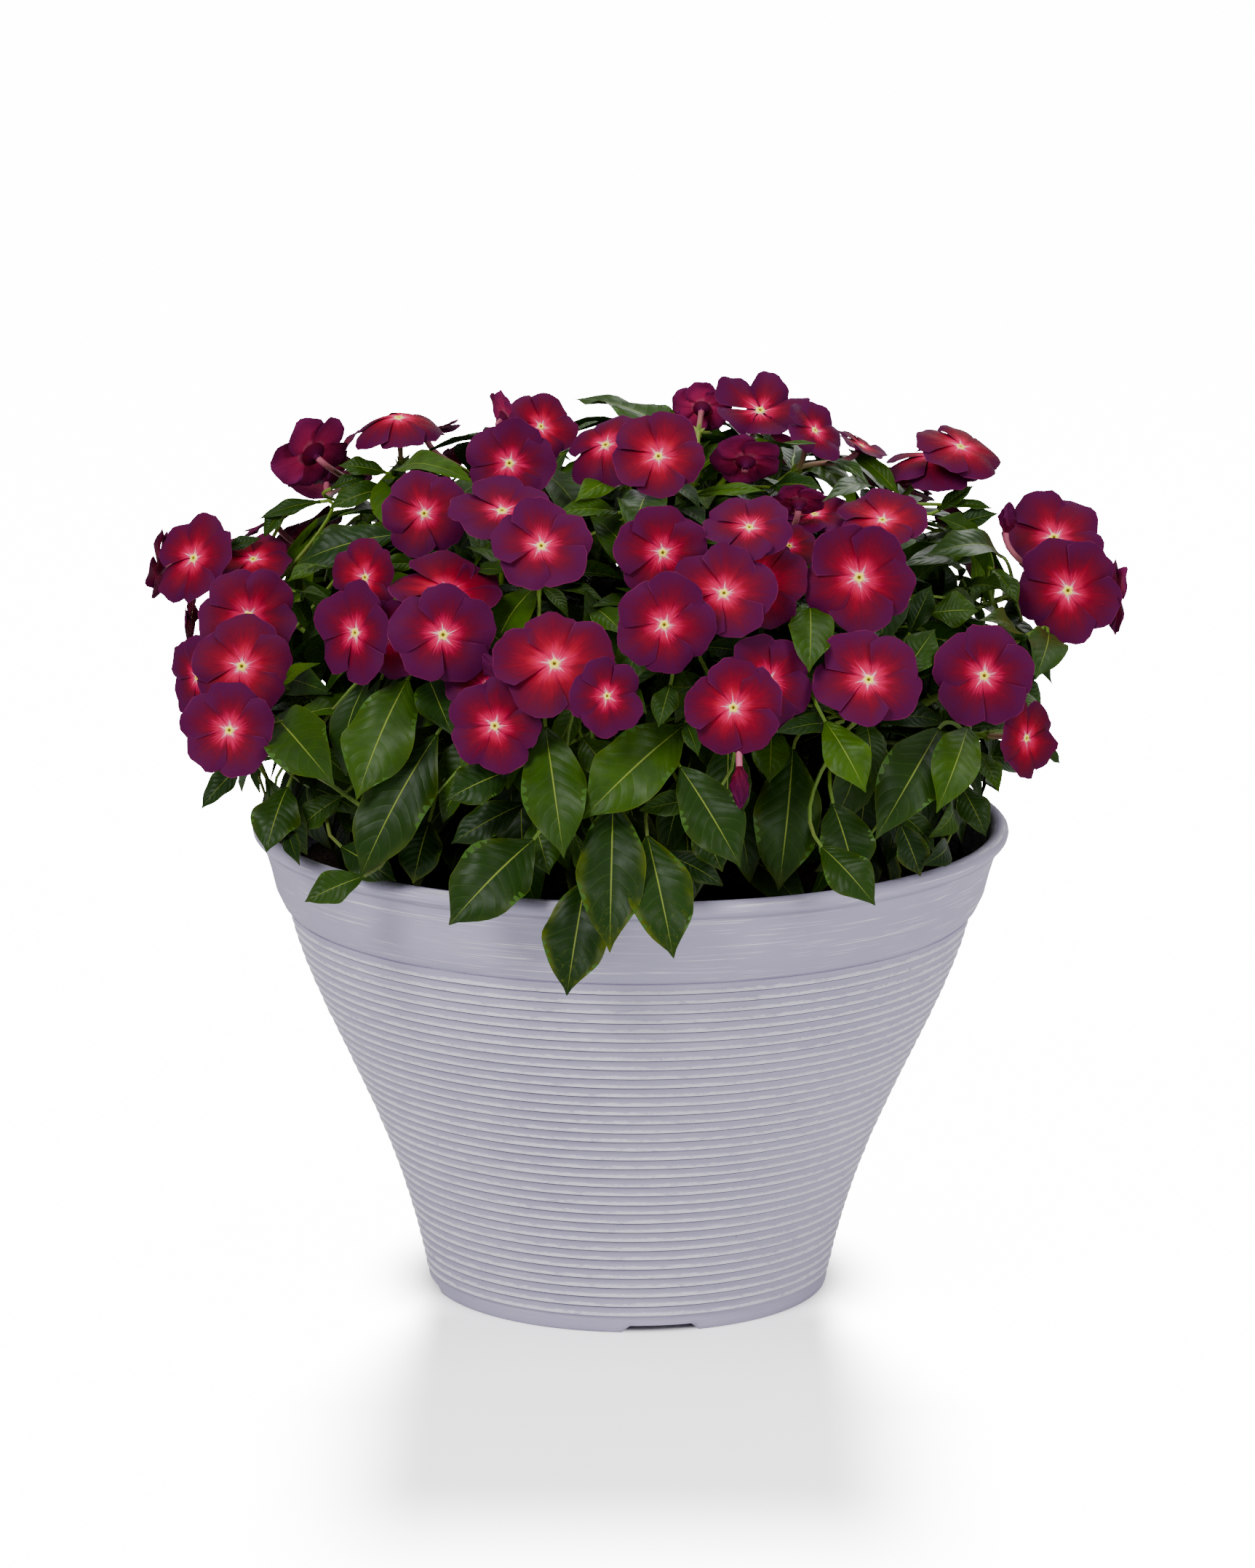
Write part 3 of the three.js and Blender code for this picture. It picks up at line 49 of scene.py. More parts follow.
# Camera, as the photograph was taken: picture coordinates are those of a 1725 x 2156 frame.
PICTURE_WIDTH = 1725
PICTURE_HEIGHT = 2156
STANDPOINT = np.array([0.0, -3000.0, 895.8])
LOOK_DOWN = math.radians(12.304)
LOOK_ROLL = math.radians(0.351)
FOCAL_PIXELS = 8926.3
CENTRE_COLUMN = 867.1
CENTRE_ROW = 1078.0
PIXELS_PER_MM = 2.92
SENSOR = 36.0

# Pot
INNER_HEIGHTS = [9, 58, 206]
INNER_RADII = [91.2, 104.6, 165.4]
INNER_STATIONS = [9, 58, 120, 170]
WALL_HEIGHTS = [0, 36, 58, 81, 103, 124, 146, 166, 184]
WALL_RADII = [94.9, 103.7, 110.2, 118.8, 129, 139.2, 148.7, 156.3, 161.8]
RIB_COUNT = 36
RIB_DEPTH = 1.0
RIBS_FROM = 8.6
RIBS_TO = 184.0
RIB_ROWS = [0.0, 0.07, 0.22, 0.38, 0.48, 0.86, 0.91, 0.95]
ROWS_OVER_GROOVE = 3
RIB_WANDER = (9.0, 9.0, 190.0)
RIB_INSET = 1.05
CURVE_SHIFT = 0.4
CURVE_SPAN = 1.5
RIB_PROFILE = [
    (0.0, 1.0),
    (0.08, 0.95),
    (0.38, 0.22),
    (0.48, 0.1),
    (0.86, 0.14),
    (0.92, -0.35),
    (0.955, -0.3),
    (1.0, 1.0),
]
COLLAR_OUTLINE = [
    (160.9, 184.1),
    (161.3, 184.5),
    (162.5, 185.4),
    (164.5, 187.4),
    (167.9, 194.5),
    (170.2, 204),
    (172.6, 212),
    (175.6, 217.6),
]
LIP_OUTLINE = [
    (176.0, 218.4),
    (177.4, 218.9),
    (178.4, 220.2),
    (178.8, 221.8),
    (178.5, 223.3),
    (177.5, 224.5),
    (176.0, 225.2),
    (174.4, 225.4),
    (172.9, 225.0),
    (171.6, 224.2),
    (170.5, 222.6),
    (169.9, 220.5),
]
FOOT_INNER_RADIUS = 86
FLOOR_UNDERSIDE = 5
FLOOR_TOP = 9
POT_SEGMENTS = 144
NOTCH_ANGLE = 9.5
NOTCH_EVERY = 90
NOTCH_HALF_ABOVE = 8.75
NOTCH_HALF_BELOW = 11.25
NOTCH_HEIGHT = 3.6
FOOT_OUTLINE = [
    (FOOT_INNER_RADIUS, 0.6),
    (86.6, 0.0),
    (94.0, 0.0),
    (94.7, 0.5),
    (95.1, 1.5),
    (95.5, NOTCH_HEIGHT),
]

# Soil
FIT = 0.3
SOIL_HEIGHT = 199

# Stems and stalks
STEM_COUNT = 11
STEM_SPREAD = 70
STEM_FIRST = 0.4
STEM_TURN = 0.6
GOLDEN_ANGLE = math.pi * (3 - math.sqrt(5))
STEM_FAN = 2.0
STEM_BEND = 1.1
STEM_COLLAR = 4
STEM_ROOT_DEPTH = 14
STEM_ROOT_RADIUS = 3.6
STEM_TOP_RADIUS = 2.2
TWIG_RADIUS = 2.0
STALK_RADIUS = 1.4
STALK_STATIONS = [0, 0.5, 1]
TRUNK_STATIONS = [0, 0.35, 0.7, 1]
STALK_BEND = 0.4
STALK_WANDER = 3
STALK_TRIES = 9
STALK_STEMS = 3
FORK_LOWEST = 0.45
FORK_HIGHEST = 0.97
FORK_DROP = 30
FORK_SPAN = 160
CROWN_HEIGHT = 338
CROWN_SINK = 0.36

# Leaves
LEAF_ARCH = 0.1
LEAF_FOLD = 0.22
LEAF_FACES_VIEWER = 0.8
LEAF_FACES_UP = 0.35
LEAF_FACES_OUTWARD = 0.3
LEAF_STALK_RADIUS = 0.85
LEAF_STALK_BEND = 0.4
LONG_STALK = 30
JOINT_STEPS = 8
JOINT_TRIES = 5
INNER_SHELL = 0.88
OUTER_SHELL = 0.96
PAIR_STALK = 4
PAIR_LENGTH = 66
PAIR_LENGTH_SPREAD = 7
PAIR_WIDTH_SHARE = 0.44
PAIR_SHARES = [0.3, 0.58, 0.86]
TRUNK_SHARES = [0.62]
PAIR_LEAN_FORWARD = 0.45
PAIR_LEAN_OUTWARD = 0.25
PAIR_LEAN_DOWN = 0.12
PAIR_INDEX = 1000
PAIRS_BEHIND = -20
PAIR_TURNS = [0.3, -0.3, 0.8, -0.8, 1.3, -1.3, 0, 0.6]
PAIR_SCALES = [1, 1, 1, 0.9, 0.85, 0.85, 0.7, 0.7]
BUD_LENGTH = 10
BUD_EVERY = 3
BUD_SHARE = 0.86
BUD_LEAN = 0.6

# Blooms
PETAL_COUNT = 5
USUAL_CUP = 0.05
LIFT_SPREAD = 0.06
SIZE_SPREAD = 0.05
THROAT_DEPTH = 1.2
TUBE_LENGTH = 24
TUBE_RADIUS = 1.5
TUBE_END_RADIUS = 1.2
TUBE_LEAVES = 0.4
TUBE_ARRIVES = 0.35
TUBE_TRIES = 40
TUBE_WANDER = 1.8
BUNCH_DEPTH = 0.6
BUNCH_SINK = 40
WILTED_SHELL = 0.97
WILTED_TUBE_START = 0.06

SLIDES = [0, 6, -6, 12, -12, 18, 24, 30, 37, 44, 52, 60]
STALK_GAPS = [0.4, 0.9, 1.5, 2.1]
BACK_ROWS = [
    {"name": "low", "rise": 6, "pitch": 18, "from": 32, "to": 148, "count": 6},
    {"name": "mid", "rise": 32, "pitch": 36, "from": 29, "to": 151, "count": 6},
    {"name": "high", "rise": 50, "pitch": 54, "from": 36, "to": 120, "count": 4},
]
BACK_INDEX = 100
BACK_RADIUS = 22
BACK_RADIUS_SPREAD = 2
BACK_RISE_SPREAD = 5
BACK_YAW_SPREAD = 16
BACK_PITCH_SPREAD = 12
BESIDE = {"distance": 36, "lift": 0.55, "sink": -8, "yaw": 28, "pitch": 14, "radius": 19}
DOME_CENTRE = np.array([0.0, -3.0, 232.0])
DOME_RADII = np.array([222.0, 205.0, 196.0])
UP = np.array([0.0, 0.0, 1.0])

# Blooms as seen: the eye's column and row, the way the face turns (yaw to the viewer's right, pitch
# upward, in degrees), the radius, the petals' cup and how far behind the crown's surface it stands
BLOOMS = [
    {"bunch": "topleft", "eye": [548, 573], "yaw": -10, "pitch": 78, "radius": 21.7, "cup": -0.4},
    {"bunch": "ember", "eye": [428, 622], "furl": 0.4, "yaw": -140, "pitch": 25, "radius": 21},
    {"bunch": "ember", "eye": [465, 628], "yaw": -92, "pitch": 35, "radius": 17, "back": 10},
    {"bunch": "ember", "eye": [450, 655], "furl": 0.3, "yaw": 175, "pitch": 55, "radius": 22, "back": 20},
    {"bunch": "brow", "eye": [583, 706], "yaw": -5, "pitch": 20, "radius": 19.5},
    {"bunch": "west", "eye": [265, 767], "furl": 0.4, "yaw": -40, "pitch": 25, "radius": 22.5},
    {"bunch": "west", "eye": [217, 775], "furl": 0.4, "yaw": -100, "pitch": 5, "radius": 17, "back": 10},
    {"bunch": "cheek", "eye": [341, 847], "yaw": 0, "pitch": 15, "radius": 23},
    {"bunch": "cheek", "eye": [348, 768], "yaw": -5, "pitch": 60, "radius": 18},
    {"bunch": "cheek", "eye": [262, 845], "yaw": -95, "pitch": 5, "radius": 16, "back": 12},
    {"bunch": "jaw", "eye": [332, 916], "yaw": -5, "pitch": 25, "radius": 24},
    {"bunch": "jaw", "eye": [270, 932], "yaw": -55, "pitch": 0, "radius": 19, "back": 16},
    {"bunch": "chin", "eye": [315, 1004], "yaw": -5, "pitch": 20, "radius": 21.7},
    {"bunch": "scarf", "eye": [487, 870], "furl": 0.2, "yaw": -42, "pitch": 10, "radius": 23},
    {"bunch": "scarf", "eye": [501, 794], "furl": 0.35, "yaw": -35, "pitch": 15, "radius": 18},
    {"bunch": "scarf", "eye": [537, 877], "yaw": -15, "pitch": 5, "radius": 19, "back": 14},
    {"bunch": "collar", "eye": [609, 873], "yaw": 0, "pitch": 10, "radius": 23.5},
    {"bunch": "collar", "eye": [614, 811], "yaw": 5, "pitch": 65, "radius": 25, "back": 8},
    {"bunch": "tuft", "eye": [700, 637], "yaw": -5, "pitch": 12, "radius": 20.5},
    {"bunch": "tuft", "eye": [744, 586], "yaw": 30, "pitch": 35, "radius": 17.5, "back": 6},
    {"bunch": "tuft", "eye": [697, 574], "yaw": 115, "pitch": 20, "radius": 14, "back": 22},
    {"bunch": "shelf", "eye": [690, 701], "furl": 0.3, "yaw": 0, "pitch": 65, "radius": 24},
    {"bunch": "ledge", "eye": [744, 750], "yaw": 0, "pitch": 35, "radius": 22},
    {"bunch": "cap", "eye": [832, 611], "furl": 0.35, "yaw": -25, "pitch": 45, "radius": 21, "cup": -0.3},
    {"bunch": "crest", "eye": [905, 627], "yaw": 0, "pitch": 30, "radius": 21},
    {"bunch": "veil", "eye": [965, 560], "yaw": 175, "pitch": 20, "radius": 14, "back": 30},
    {"bunch": "horn", "eye": [1045, 563], "furl": 0.9, "yaw": 5, "pitch": 56, "radius": 22.5, "cup": 0.3},
    {"bunch": "horn", "eye": [1025, 632], "yaw": 178, "pitch": 40, "radius": 16, "back": 16},
    {"bunch": "plume", "eye": [1121, 591], "furl": 0.4, "yaw": 50, "pitch": 40, "radius": 17},
    {"bunch": "plume", "eye": [1185, 612], "yaw": 75, "pitch": 60, "radius": 13, "back": 8},
    {"bunch": "wing", "eye": [1321, 613], "furl": 0.15, "yaw": 35, "pitch": 62, "radius": 21, "cup": -0.15},
    {"bunch": "wing", "eye": [1281, 627], "yaw": 0, "pitch": 80, "radius": 24, "back": 8, "cup": -0.3},
    {"bunch": "perch", "eye": [1213, 714], "yaw": 0, "pitch": 60, "radius": 20},
    {"bunch": "fan", "eye": [995, 815], "yaw": 0, "pitch": 35, "radius": 23},
    {"bunch": "fan", "eye": [1042, 797], "yaw": 10, "pitch": 20, "radius": 22, "back": 16},
    {"bunch": "fan", "eye": [1030, 724], "yaw": 0, "pitch": 55, "radius": 20},
    {"bunch": "heart", "eye": [911, 760], "yaw": 0, "pitch": 12, "radius": 21},
    {"bunch": "heart", "eye": [913, 859], "yaw": 0, "pitch": 12, "radius": 22.5},
    {"bunch": "pearl", "eye": [762, 912], "yaw": 0, "pitch": 35, "radius": 26},
    {"bunch": "pearl", "eye": [835, 957], "furl": 0.3, "yaw": 25, "pitch": 10, "radius": 17.5},
    {"bunch": "spoke", "eye": [680, 998], "furl": 0.35, "yaw": 0, "pitch": 12, "radius": 21},
    {"bunch": "spoke", "eye": [668, 945], "yaw": -10, "pitch": 20, "radius": 18, "back": 16},
    {"bunch": "twin", "eye": [1008, 973], "yaw": 0, "pitch": 12, "radius": 22},
    {"bunch": "twin", "eye": [1057, 934], "yaw": 25, "pitch": 25, "radius": 22, "back": 14},
    {"bunch": "lamp", "eye": [1194, 934], "yaw": 0, "pitch": 35, "radius": 24},
    {"bunch": "east", "eye": [1353, 929], "yaw": 0, "pitch": 12, "radius": 23.3},
    {"bunch": "sun", "eye": [1181, 794], "yaw": 0, "pitch": 12, "radius": 24.5},
    {"bunch": "sun", "eye": [1085, 750], "yaw": 20, "pitch": 50, "radius": 14, "back": 10},
    {"bunch": "dusk", "eye": [1120, 706], "yaw": 10, "pitch": 70, "radius": 17, "back": 20},
    {"bunch": "dusk", "eye": [1098, 688], "yaw": 178, "pitch": 50, "radius": 13, "back": 14},
    {"bunch": "flank", "eye": [1468, 812], "yaw": 5, "pitch": 12, "radius": 25},
    {"bunch": "flank", "eye": [1449, 738], "furl": 0.12, "yaw": 5, "pitch": 45, "radius": 24, "back": 12},
    {"bunch": "flank", "eye": [1539, 822], "furl": 0.9, "yaw": 95, "pitch": 0, "radius": 19, "back": 8},
    {"bunch": "tail", "eye": [1412, 1015], "furl": 0.35, "yaw": 50, "pitch": 5, "radius": 18.5},
]

# Leaves as seen: column and row of the base and the tip, the width in the same pixels, and the shells of
# the crown on which base and tip lie
LEAVES = [
    {"base": [805, 1210], "tip": [779, 1369], "width": 85, "inner": 0.86, "outer": 1},
    {"base": [843, 1100], "tip": [838, 1310], "width": 90, "inner": 0.84, "outer": 1},
    {"base": [890, 1150], "tip": [926, 1318], "width": 85, "inner": 0.86, "outer": 1},
    {"base": [733, 1155], "tip": [617, 1272], "width": 100, "inner": 0.86, "outer": 1.01},
    {"base": [500, 1205], "tip": [419, 1240], "width": 45, "inner": 0.92, "outer": 1.01},
    {"base": [1130, 1165], "tip": [1203, 1245], "width": 60, "inner": 0.88, "outer": 1.01},
    {"base": [378, 985], "tip": [460, 1080], "width": 85},
    {"base": [335, 1050], "tip": [277, 1112], "width": 35},
    {"base": [395, 1083], "tip": [366, 1172], "width": 65},
    {"base": [470, 1095], "tip": [410, 1140], "width": 40, "inner": 0.8, "outer": 0.85},
    {"base": [560, 935], "tip": [490, 1100], "width": 95},
    {"base": [590, 935], "tip": [622, 1012], "width": 60},
    {"base": [600, 1010], "tip": [495, 1207], "width": 95, "inner": 0.84, "outer": 0.94},
    {"base": [470, 1165], "tip": [545, 1212], "width": 50, "inner": 0.84, "outer": 0.86},
    {"base": [590, 1130], "tip": [568, 1215], "width": 60, "inner": 0.78, "outer": 0.84},
    {"base": [700, 1060], "tip": [613, 1100], "width": 60},
    {"base": [720, 1105], "tip": [620, 1160], "width": 50, "inner": 0.78, "outer": 0.84},
    {"base": [750, 1000], "tip": [775, 1180], "width": 85},
    {"base": [853, 1115], "tip": [882, 1198], "width": 42, "inner": 0.8, "outer": 0.88},
    {"base": [940, 998], "tip": [800, 1127], "width": 95},
    {"base": [935, 1055], "tip": [1018, 1193], "width": 80},
    {"base": [960, 1130], "tip": [993, 1199], "width": 50, "inner": 0.78, "outer": 0.84},
    {"base": [921, 943], "tip": [905, 1000], "width": 35},
    {"base": [800, 1015], "tip": [850, 1080], "width": 50, "inner": 0.8, "outer": 0.86},
    {"base": [1060, 1000], "tip": [1057, 1077], "width": 50},
    {"base": [1148, 995], "tip": [1063, 1008], "width": 30},
    {"base": [1135, 993], "tip": [1190, 1090], "width": 60},
    {"base": [1090, 1030], "tip": [1070, 1225], "width": 90, "inner": 0.84, "outer": 0.9},
    {"base": [1145, 1105], "tip": [1177, 1215], "width": 75, "inner": 0.82, "outer": 0.88},
    {"base": [1290, 1003], "tip": [1203, 1155], "width": 85},
    {"base": [1330, 1000], "tip": [1287, 1118], "width": 65},
    {"base": [1345, 1035], "tip": [1373, 1090], "width": 30},
    {"base": [1237, 1133], "tip": [1265, 1205], "width": 45, "inner": 0.82, "outer": 0.86},
    {"base": [1320, 1080], "tip": [1355, 1150], "width": 45, "inner": 0.82, "outer": 0.88},
    {"base": [1440, 870], "tip": [1423, 935], "width": 55},
    {"base": [540, 655], "tip": [655, 665], "width": 40},
    {"base": [530, 650], "tip": [465, 640], "width": 30},
    {"base": [535, 672], "tip": [452, 700], "width": 40},
    {"base": [440, 690], "tip": [357, 713], "width": 25},
    {"base": [545, 735], "tip": [408, 775], "width": 60},
    {"base": [470, 765], "tip": [395, 800], "width": 35},
    {"base": [955, 682], "tip": [1052, 675], "width": 20},
    {"base": [1060, 670], "tip": [1130, 672], "width": 35},
    {"base": [1090, 640], "tip": [1180, 700], "width": 50},
    {"base": [1205, 687], "tip": [1130, 690], "width": 35},
    {"base": [1235, 680], "tip": [1165, 617], "width": 30},
    {"base": [1320, 795], "tip": [1237, 780], "width": 40},
    {"base": [1375, 765], "tip": [1270, 765], "width": 50},
    {"base": [1250, 870], "tip": [1280, 805], "width": 35},
    {"base": [1280, 843], "tip": [1345, 840], "width": 50},
    {"base": [1325, 810], "tip": [1380, 810], "width": 40},
    {"base": [1240, 930], "tip": [1285, 865], "width": 50},
    {"base": [1113, 830], "tip": [1112, 925], "width": 60},
    {"base": [1215, 870], "tip": [1148, 885], "width": 25},
    {"base": [970, 890], "tip": [1055, 905], "width": 40},
    {"base": [890, 680], "tip": [870, 735], "width": 65},
    {"base": [850, 705], "tip": [765, 705], "width": 30},
    {"base": [815, 835], "tip": [860, 875], "width": 40},
]

# Smaller leaves as seen, which the frame's solids leave out
SMALL_LEAVES = [
    {"base": [943, 995], "tip": [960, 1040], "width": 25},
    {"base": [1418, 1018], "tip": [1457, 1050], "width": 20, "inner": 0.93},
    {"base": [390, 700], "tip": [363, 738], "width": 25},
    {"base": [580, 777], "tip": [515, 778], "width": 25},
    {"base": [655, 787], "tip": [700, 787], "width": 25},
    {"base": [395, 1140], "tip": [412, 1190], "width": 25},
    {"base": [815, 1100], "tip": [817, 1162], "width": 40, "inner": 0.78, "outer": 0.84},
    {"base": [735, 1130], "tip": [755, 1203], "width": 50, "inner": 0.78, "outer": 0.84},
    {"base": [1395, 895], "tip": [1346, 853], "width": 42},
    {"base": [1364, 783], "tip": [1400, 832], "width": 30},
    {"base": [1350, 748], "tip": [1288, 712], "width": 36},
    {"base": [1297, 694], "tip": [1364, 699], "width": 17},
    {"base": [307, 758], "tip": [359, 740], "width": 20},
    {"base": [386, 951], "tip": [440, 912], "width": 22},
    {"base": [415, 824], "tip": [460, 829], "width": 12},
    {"base": [1300, 728], "tip": [1372, 706], "width": 30},
    {"base": [1290, 702], "tip": [1338, 668], "width": 22},
    {"base": [1128, 640], "tip": [1192, 664], "width": 26},
    {"base": [1262, 770], "tip": [1330, 760], "width": 34},
    {"base": [455, 672], "tip": [505, 655], "width": 22},
    {"base": [560, 668], "tip": [640, 655], "width": 24},
    {"base": [860, 660], "tip": [790, 690], "width": 40},
]

# Spent and furled blooms as seen: the columns and rows of the upper and lower end, and the width
WILTED = [
    {"bunch": "twin", "top": [1016, 1050], "low": [1018, 1112], "width": 30},
    {"bunch": "flank", "top": [1382, 735], "low": [1388, 690], "width": 30},
    {"bunch": "spoke", "top": [694, 940], "low": [664, 900], "width": 32},
]


# Rules of growth


def draw(index, salt):
    """A fixed number from 0 to 1 for this index and salt."""
    wave = math.sin(index * 12.9898 + salt * 78.233) * 43758.5453
    return wave - math.floor(wave)


def spread(index, salt, reach):
    return (draw(index, salt) * 2 - 1) * reach


def unit(vector):
    return vector / np.linalg.norm(vector)


def distance(a, b):
    return float(np.linalg.norm(a - b))


def across_of(direction):
    """Two directions across a line, the first of them level."""
    level = np.cross(UP, direction)
    if level @ level < 1e-6:
        level = np.array([1.0, 0.0, 0.0])
    level = unit(level)
    return level, unit(np.cross(direction, level))


def facing(yaw, pitch):
    turn = math.radians(yaw)
    rise = math.radians(pitch)
    return np.array([math.cos(rise) * math.sin(turn), -math.cos(rise) * math.cos(turn), math.sin(rise)])


def sight_direction(column, row):
    across = (column - CENTRE_COLUMN) / FOCAL_PIXELS
    down = (row - CENTRE_ROW) / FOCAL_PIXELS
    right = across * math.cos(LOOK_ROLL) + down * math.sin(LOOK_ROLL)
    rise = across * math.sin(LOOK_ROLL) - down * math.cos(LOOK_ROLL)
    ahead = math.cos(LOOK_DOWN) + rise * math.sin(LOOK_DOWN)
    return unit(np.array([right, ahead, rise * math.cos(LOOK_DOWN) - math.sin(LOOK_DOWN)]))


def on_crown(column, row, shell):
    """Where a sight line meets a shell of the crown, or passes it closest."""
    direction = sight_direction(column, row)
    start = (STANDPOINT - DOME_CENTRE) / DOME_RADII / shell
    slope = direction / DOME_RADII / shell
    a = slope @ slope
    b = start @ slope
    inside = max(b * b - a * (start @ start - 1), 0)
    return STANDPOINT + direction * (-b - math.sqrt(inside)) / a


def slide_from(place, shell, slide):
    return on_crown(place[0], place[1], shell) + sight_direction(*place) * slide


def on_shell(point):
    """How far out in the crown a point is: 1 on its surface."""
    return float(np.linalg.norm((point - DOME_CENTRE) / DOME_RADII))


class Curve:
    """A Bezier curve of two to four points."""

    def __init__(self, *points):
        self.points = [np.asarray(point, float) for point in points]

    def point(self, share):
        points = self.points
        while len(points) > 1:
            points = [a + (b - a) * share for a, b in zip(points, points[1:])]
        return points[0]

    def tangent(self, share):
        step = 1e-3
        return unit(self.point(min(share + step, 1)) - self.point(max(share - step, 0)))


def stem_root(stem):
    radius = STEM_SPREAD * math.sqrt((stem + STEM_FIRST) / STEM_COUNT)
    angle = stem * GOLDEN_ANGLE + STEM_TURN
    return np.array([math.cos(angle) * radius, math.sin(angle) * radius, SOIL_HEIGHT])


def stem_curve(stem):
    root = stem_root(stem)
    reach = math.hypot(root[0], root[1]) * STEM_FAN
    crown = np.array([root[0] * STEM_FAN, root[1] * STEM_FAN, CROWN_HEIGHT - reach * CROWN_SINK])
    bend = np.array([root[0] * STEM_BEND, root[1] * STEM_BEND, (SOIL_HEIGHT + crown[2]) / 2])
    return Curve(root + UP * STEM_COLLAR, bend, crown)


def tube_curve(start, backward, end, direction):
    reach = distance(start, end)
    return Curve(start, start + backward * reach * TUBE_LEAVES, end + direction * reach * TUBE_ARRIVES, end)


def back_blooms():
    """The blooms of the side that isn't seen stand in rows on the back of the crown."""
    blooms = []
    for row_at, row in enumerate(BACK_ROWS):
        for at in range(row["count"]):
            index = BACK_INDEX + row_at * 10 + at
            around = math.radians(row["from"] + at * (row["to"] - row["from"]) / (row["count"] - 1))
            rise = math.radians(row["rise"] + spread(index, 5, BACK_RISE_SPREAD))
            level = math.cos(rise)
            direction = np.array([math.cos(around) * level, math.sin(around) * level, math.sin(rise)])
            start = direction * DOME_RADII + DOME_CENTRE
            yaw = math.degrees(around) + 90 + spread(index, 6, BACK_YAW_SPREAD)
            pitch = row["pitch"] + spread(index, 7, BACK_PITCH_SPREAD)
            radius = BACK_RADIUS + spread(index, 8, BACK_RADIUS_SPREAD)
            bunch = f"back_{row['name']}_{at + 1}"
            blooms.append({"bunch": bunch, "start": start, "yaw": yaw, "pitch": pitch, "radius": radius})
            if at % 2 == 1:
                beside = np.array([-math.sin(around), math.cos(around), BESIDE["lift"]])
                second = start + beside * BESIDE["distance"] + direction * BESIDE["sink"]
                turned = {"yaw": yaw + BESIDE["yaw"], "pitch": pitch + BESIDE["pitch"]}
                blooms.append({"bunch": bunch, "start": second, "radius": BESIDE["radius"], **turned})
    return blooms


def stalk_end(bunch, attempt):
    """Where the tubes of a bunch come together on its flower stalk."""
    single = len(bunch["blooms"]) == 1
    depth = TUBE_LENGTH if single else TUBE_LENGTH * BUNCH_DEPTH
    ends = [bloom["centre"] - facing(bloom["yaw"], bloom["pitch"]) * depth for bloom in bunch["blooms"]]
    end = sum(ends) / len(ends)
    if not single:
        end = end + unit(np.array([0.0, 0.0, end[2] - BUNCH_SINK]) - end) * TUBE_LENGTH * BUNCH_DEPTH
    salt = bunch["index"] * 20 + attempt
    step = attempt * TUBE_WANDER
    return end + np.array([spread(salt, 9, step), spread(salt, 10, step), spread(salt, 11, step)])


def stalk_curve(bunch, stem, gap, attempt):
    end = bunch["end"] - bunch["direction"] * gap
    trunk = stem_curve(stem)
    fork = FORK_HIGHEST - (trunk.point(1)[2] + FORK_DROP - end[2]) / FORK_SPAN
    start = trunk.point(min(max(fork, FORK_LOWEST), FORK_HIGHEST))
    salt = bunch["index"] * 20 + attempt
    wander = attempt * STALK_WANDER
    bend = end - bunch["direction"] * distance(start, end) * STALK_BEND
    bend = bend + np.array([spread(salt, 12, wander), spread(salt, 13, wander), spread(salt, 14, wander)])
    return Curve(start, bend, end)


def on_branch(branch, share):
    """A point on the straight pieces of which the frame's branch is made."""
    stations = branch["stations"]
    at = 1
    while stations[at] < share:
        at += 1
    start = branch["curve"].point(stations[at - 1])
    end = branch["curve"].point(stations[at])
    return start + (end - start) * (share - stations[at - 1]) / (stations[at] - stations[at - 1])


def leaf_stalk_curve(leaf):
    reach = distance(leaf["joint"], leaf["base"])
    return Curve(leaf["joint"], leaf["base"] - leaf["along"] * reach * LEAF_STALK_BEND, leaf["base"])


def seen_leaf(reading, slide):
    base = slide_from(reading["base"], reading.get("inner", INNER_SHELL), slide)
    tip = slide_from(reading["tip"], reading.get("outer", OUTER_SHELL), slide)
    along = unit(tip - base)
    face = sight_direction(*reading["base"]) * -LEAF_FACES_VIEWER + UP * LEAF_FACES_UP
    face = face + unit(base - DOME_CENTRE) * LEAF_FACES_OUTWARD
    face = unit(face - along * (face @ along))
    return {"base": base, "tip": tip, "along": along, "face": face, "width": reading["width"] / PIXELS_PER_MM}


def joints(skeleton, point):
    found = []
    for branch in skeleton:
        places = [on_branch(branch, step / JOINT_STEPS) for step in range(1, JOINT_STEPS)]
        at = min(places, key=lambda place: distance(place, point))
        found.append((distance(at, point), at, branch))
    found.sort(key=lambda joint: joint[0])
    return found[:JOINT_TRIES]


def pair_leaf(branch, share, hand, turn, scale, index):
    """A leaf of a pair on a branch, across the pair before it."""
    joint = on_branch(branch, share)
    tangent = branch["curve"].tangent(share)
    level, other = across_of(tangent)
    along = (level * math.cos(turn) + other * math.sin(turn)) * hand + tangent * PAIR_LEAN_FORWARD
    along = along + unit(joint - DOME_CENTRE) * PAIR_LEAN_OUTWARD - UP * PAIR_LEAN_DOWN
    along = unit(along)
    length = (PAIR_LENGTH + spread(index, 15, PAIR_LENGTH_SPREAD)) * scale
    face = unit(UP - along * along[2])
    base = joint + along * PAIR_STALK
    leaf = {"joint": joint, "base": base, "tip": base + along * length, "along": along, "face": face}
    return {**leaf, "width": length * PAIR_WIDTH_SHARE}


# Finding which places the frame's solids took

CORNER_TOLERANCE = 0.06
RING_TOLERANCE = 0.03
RING_CORNERS = 3
CAD_TUBE_END = 1.2
CAD_BUD_TIP = 0.4


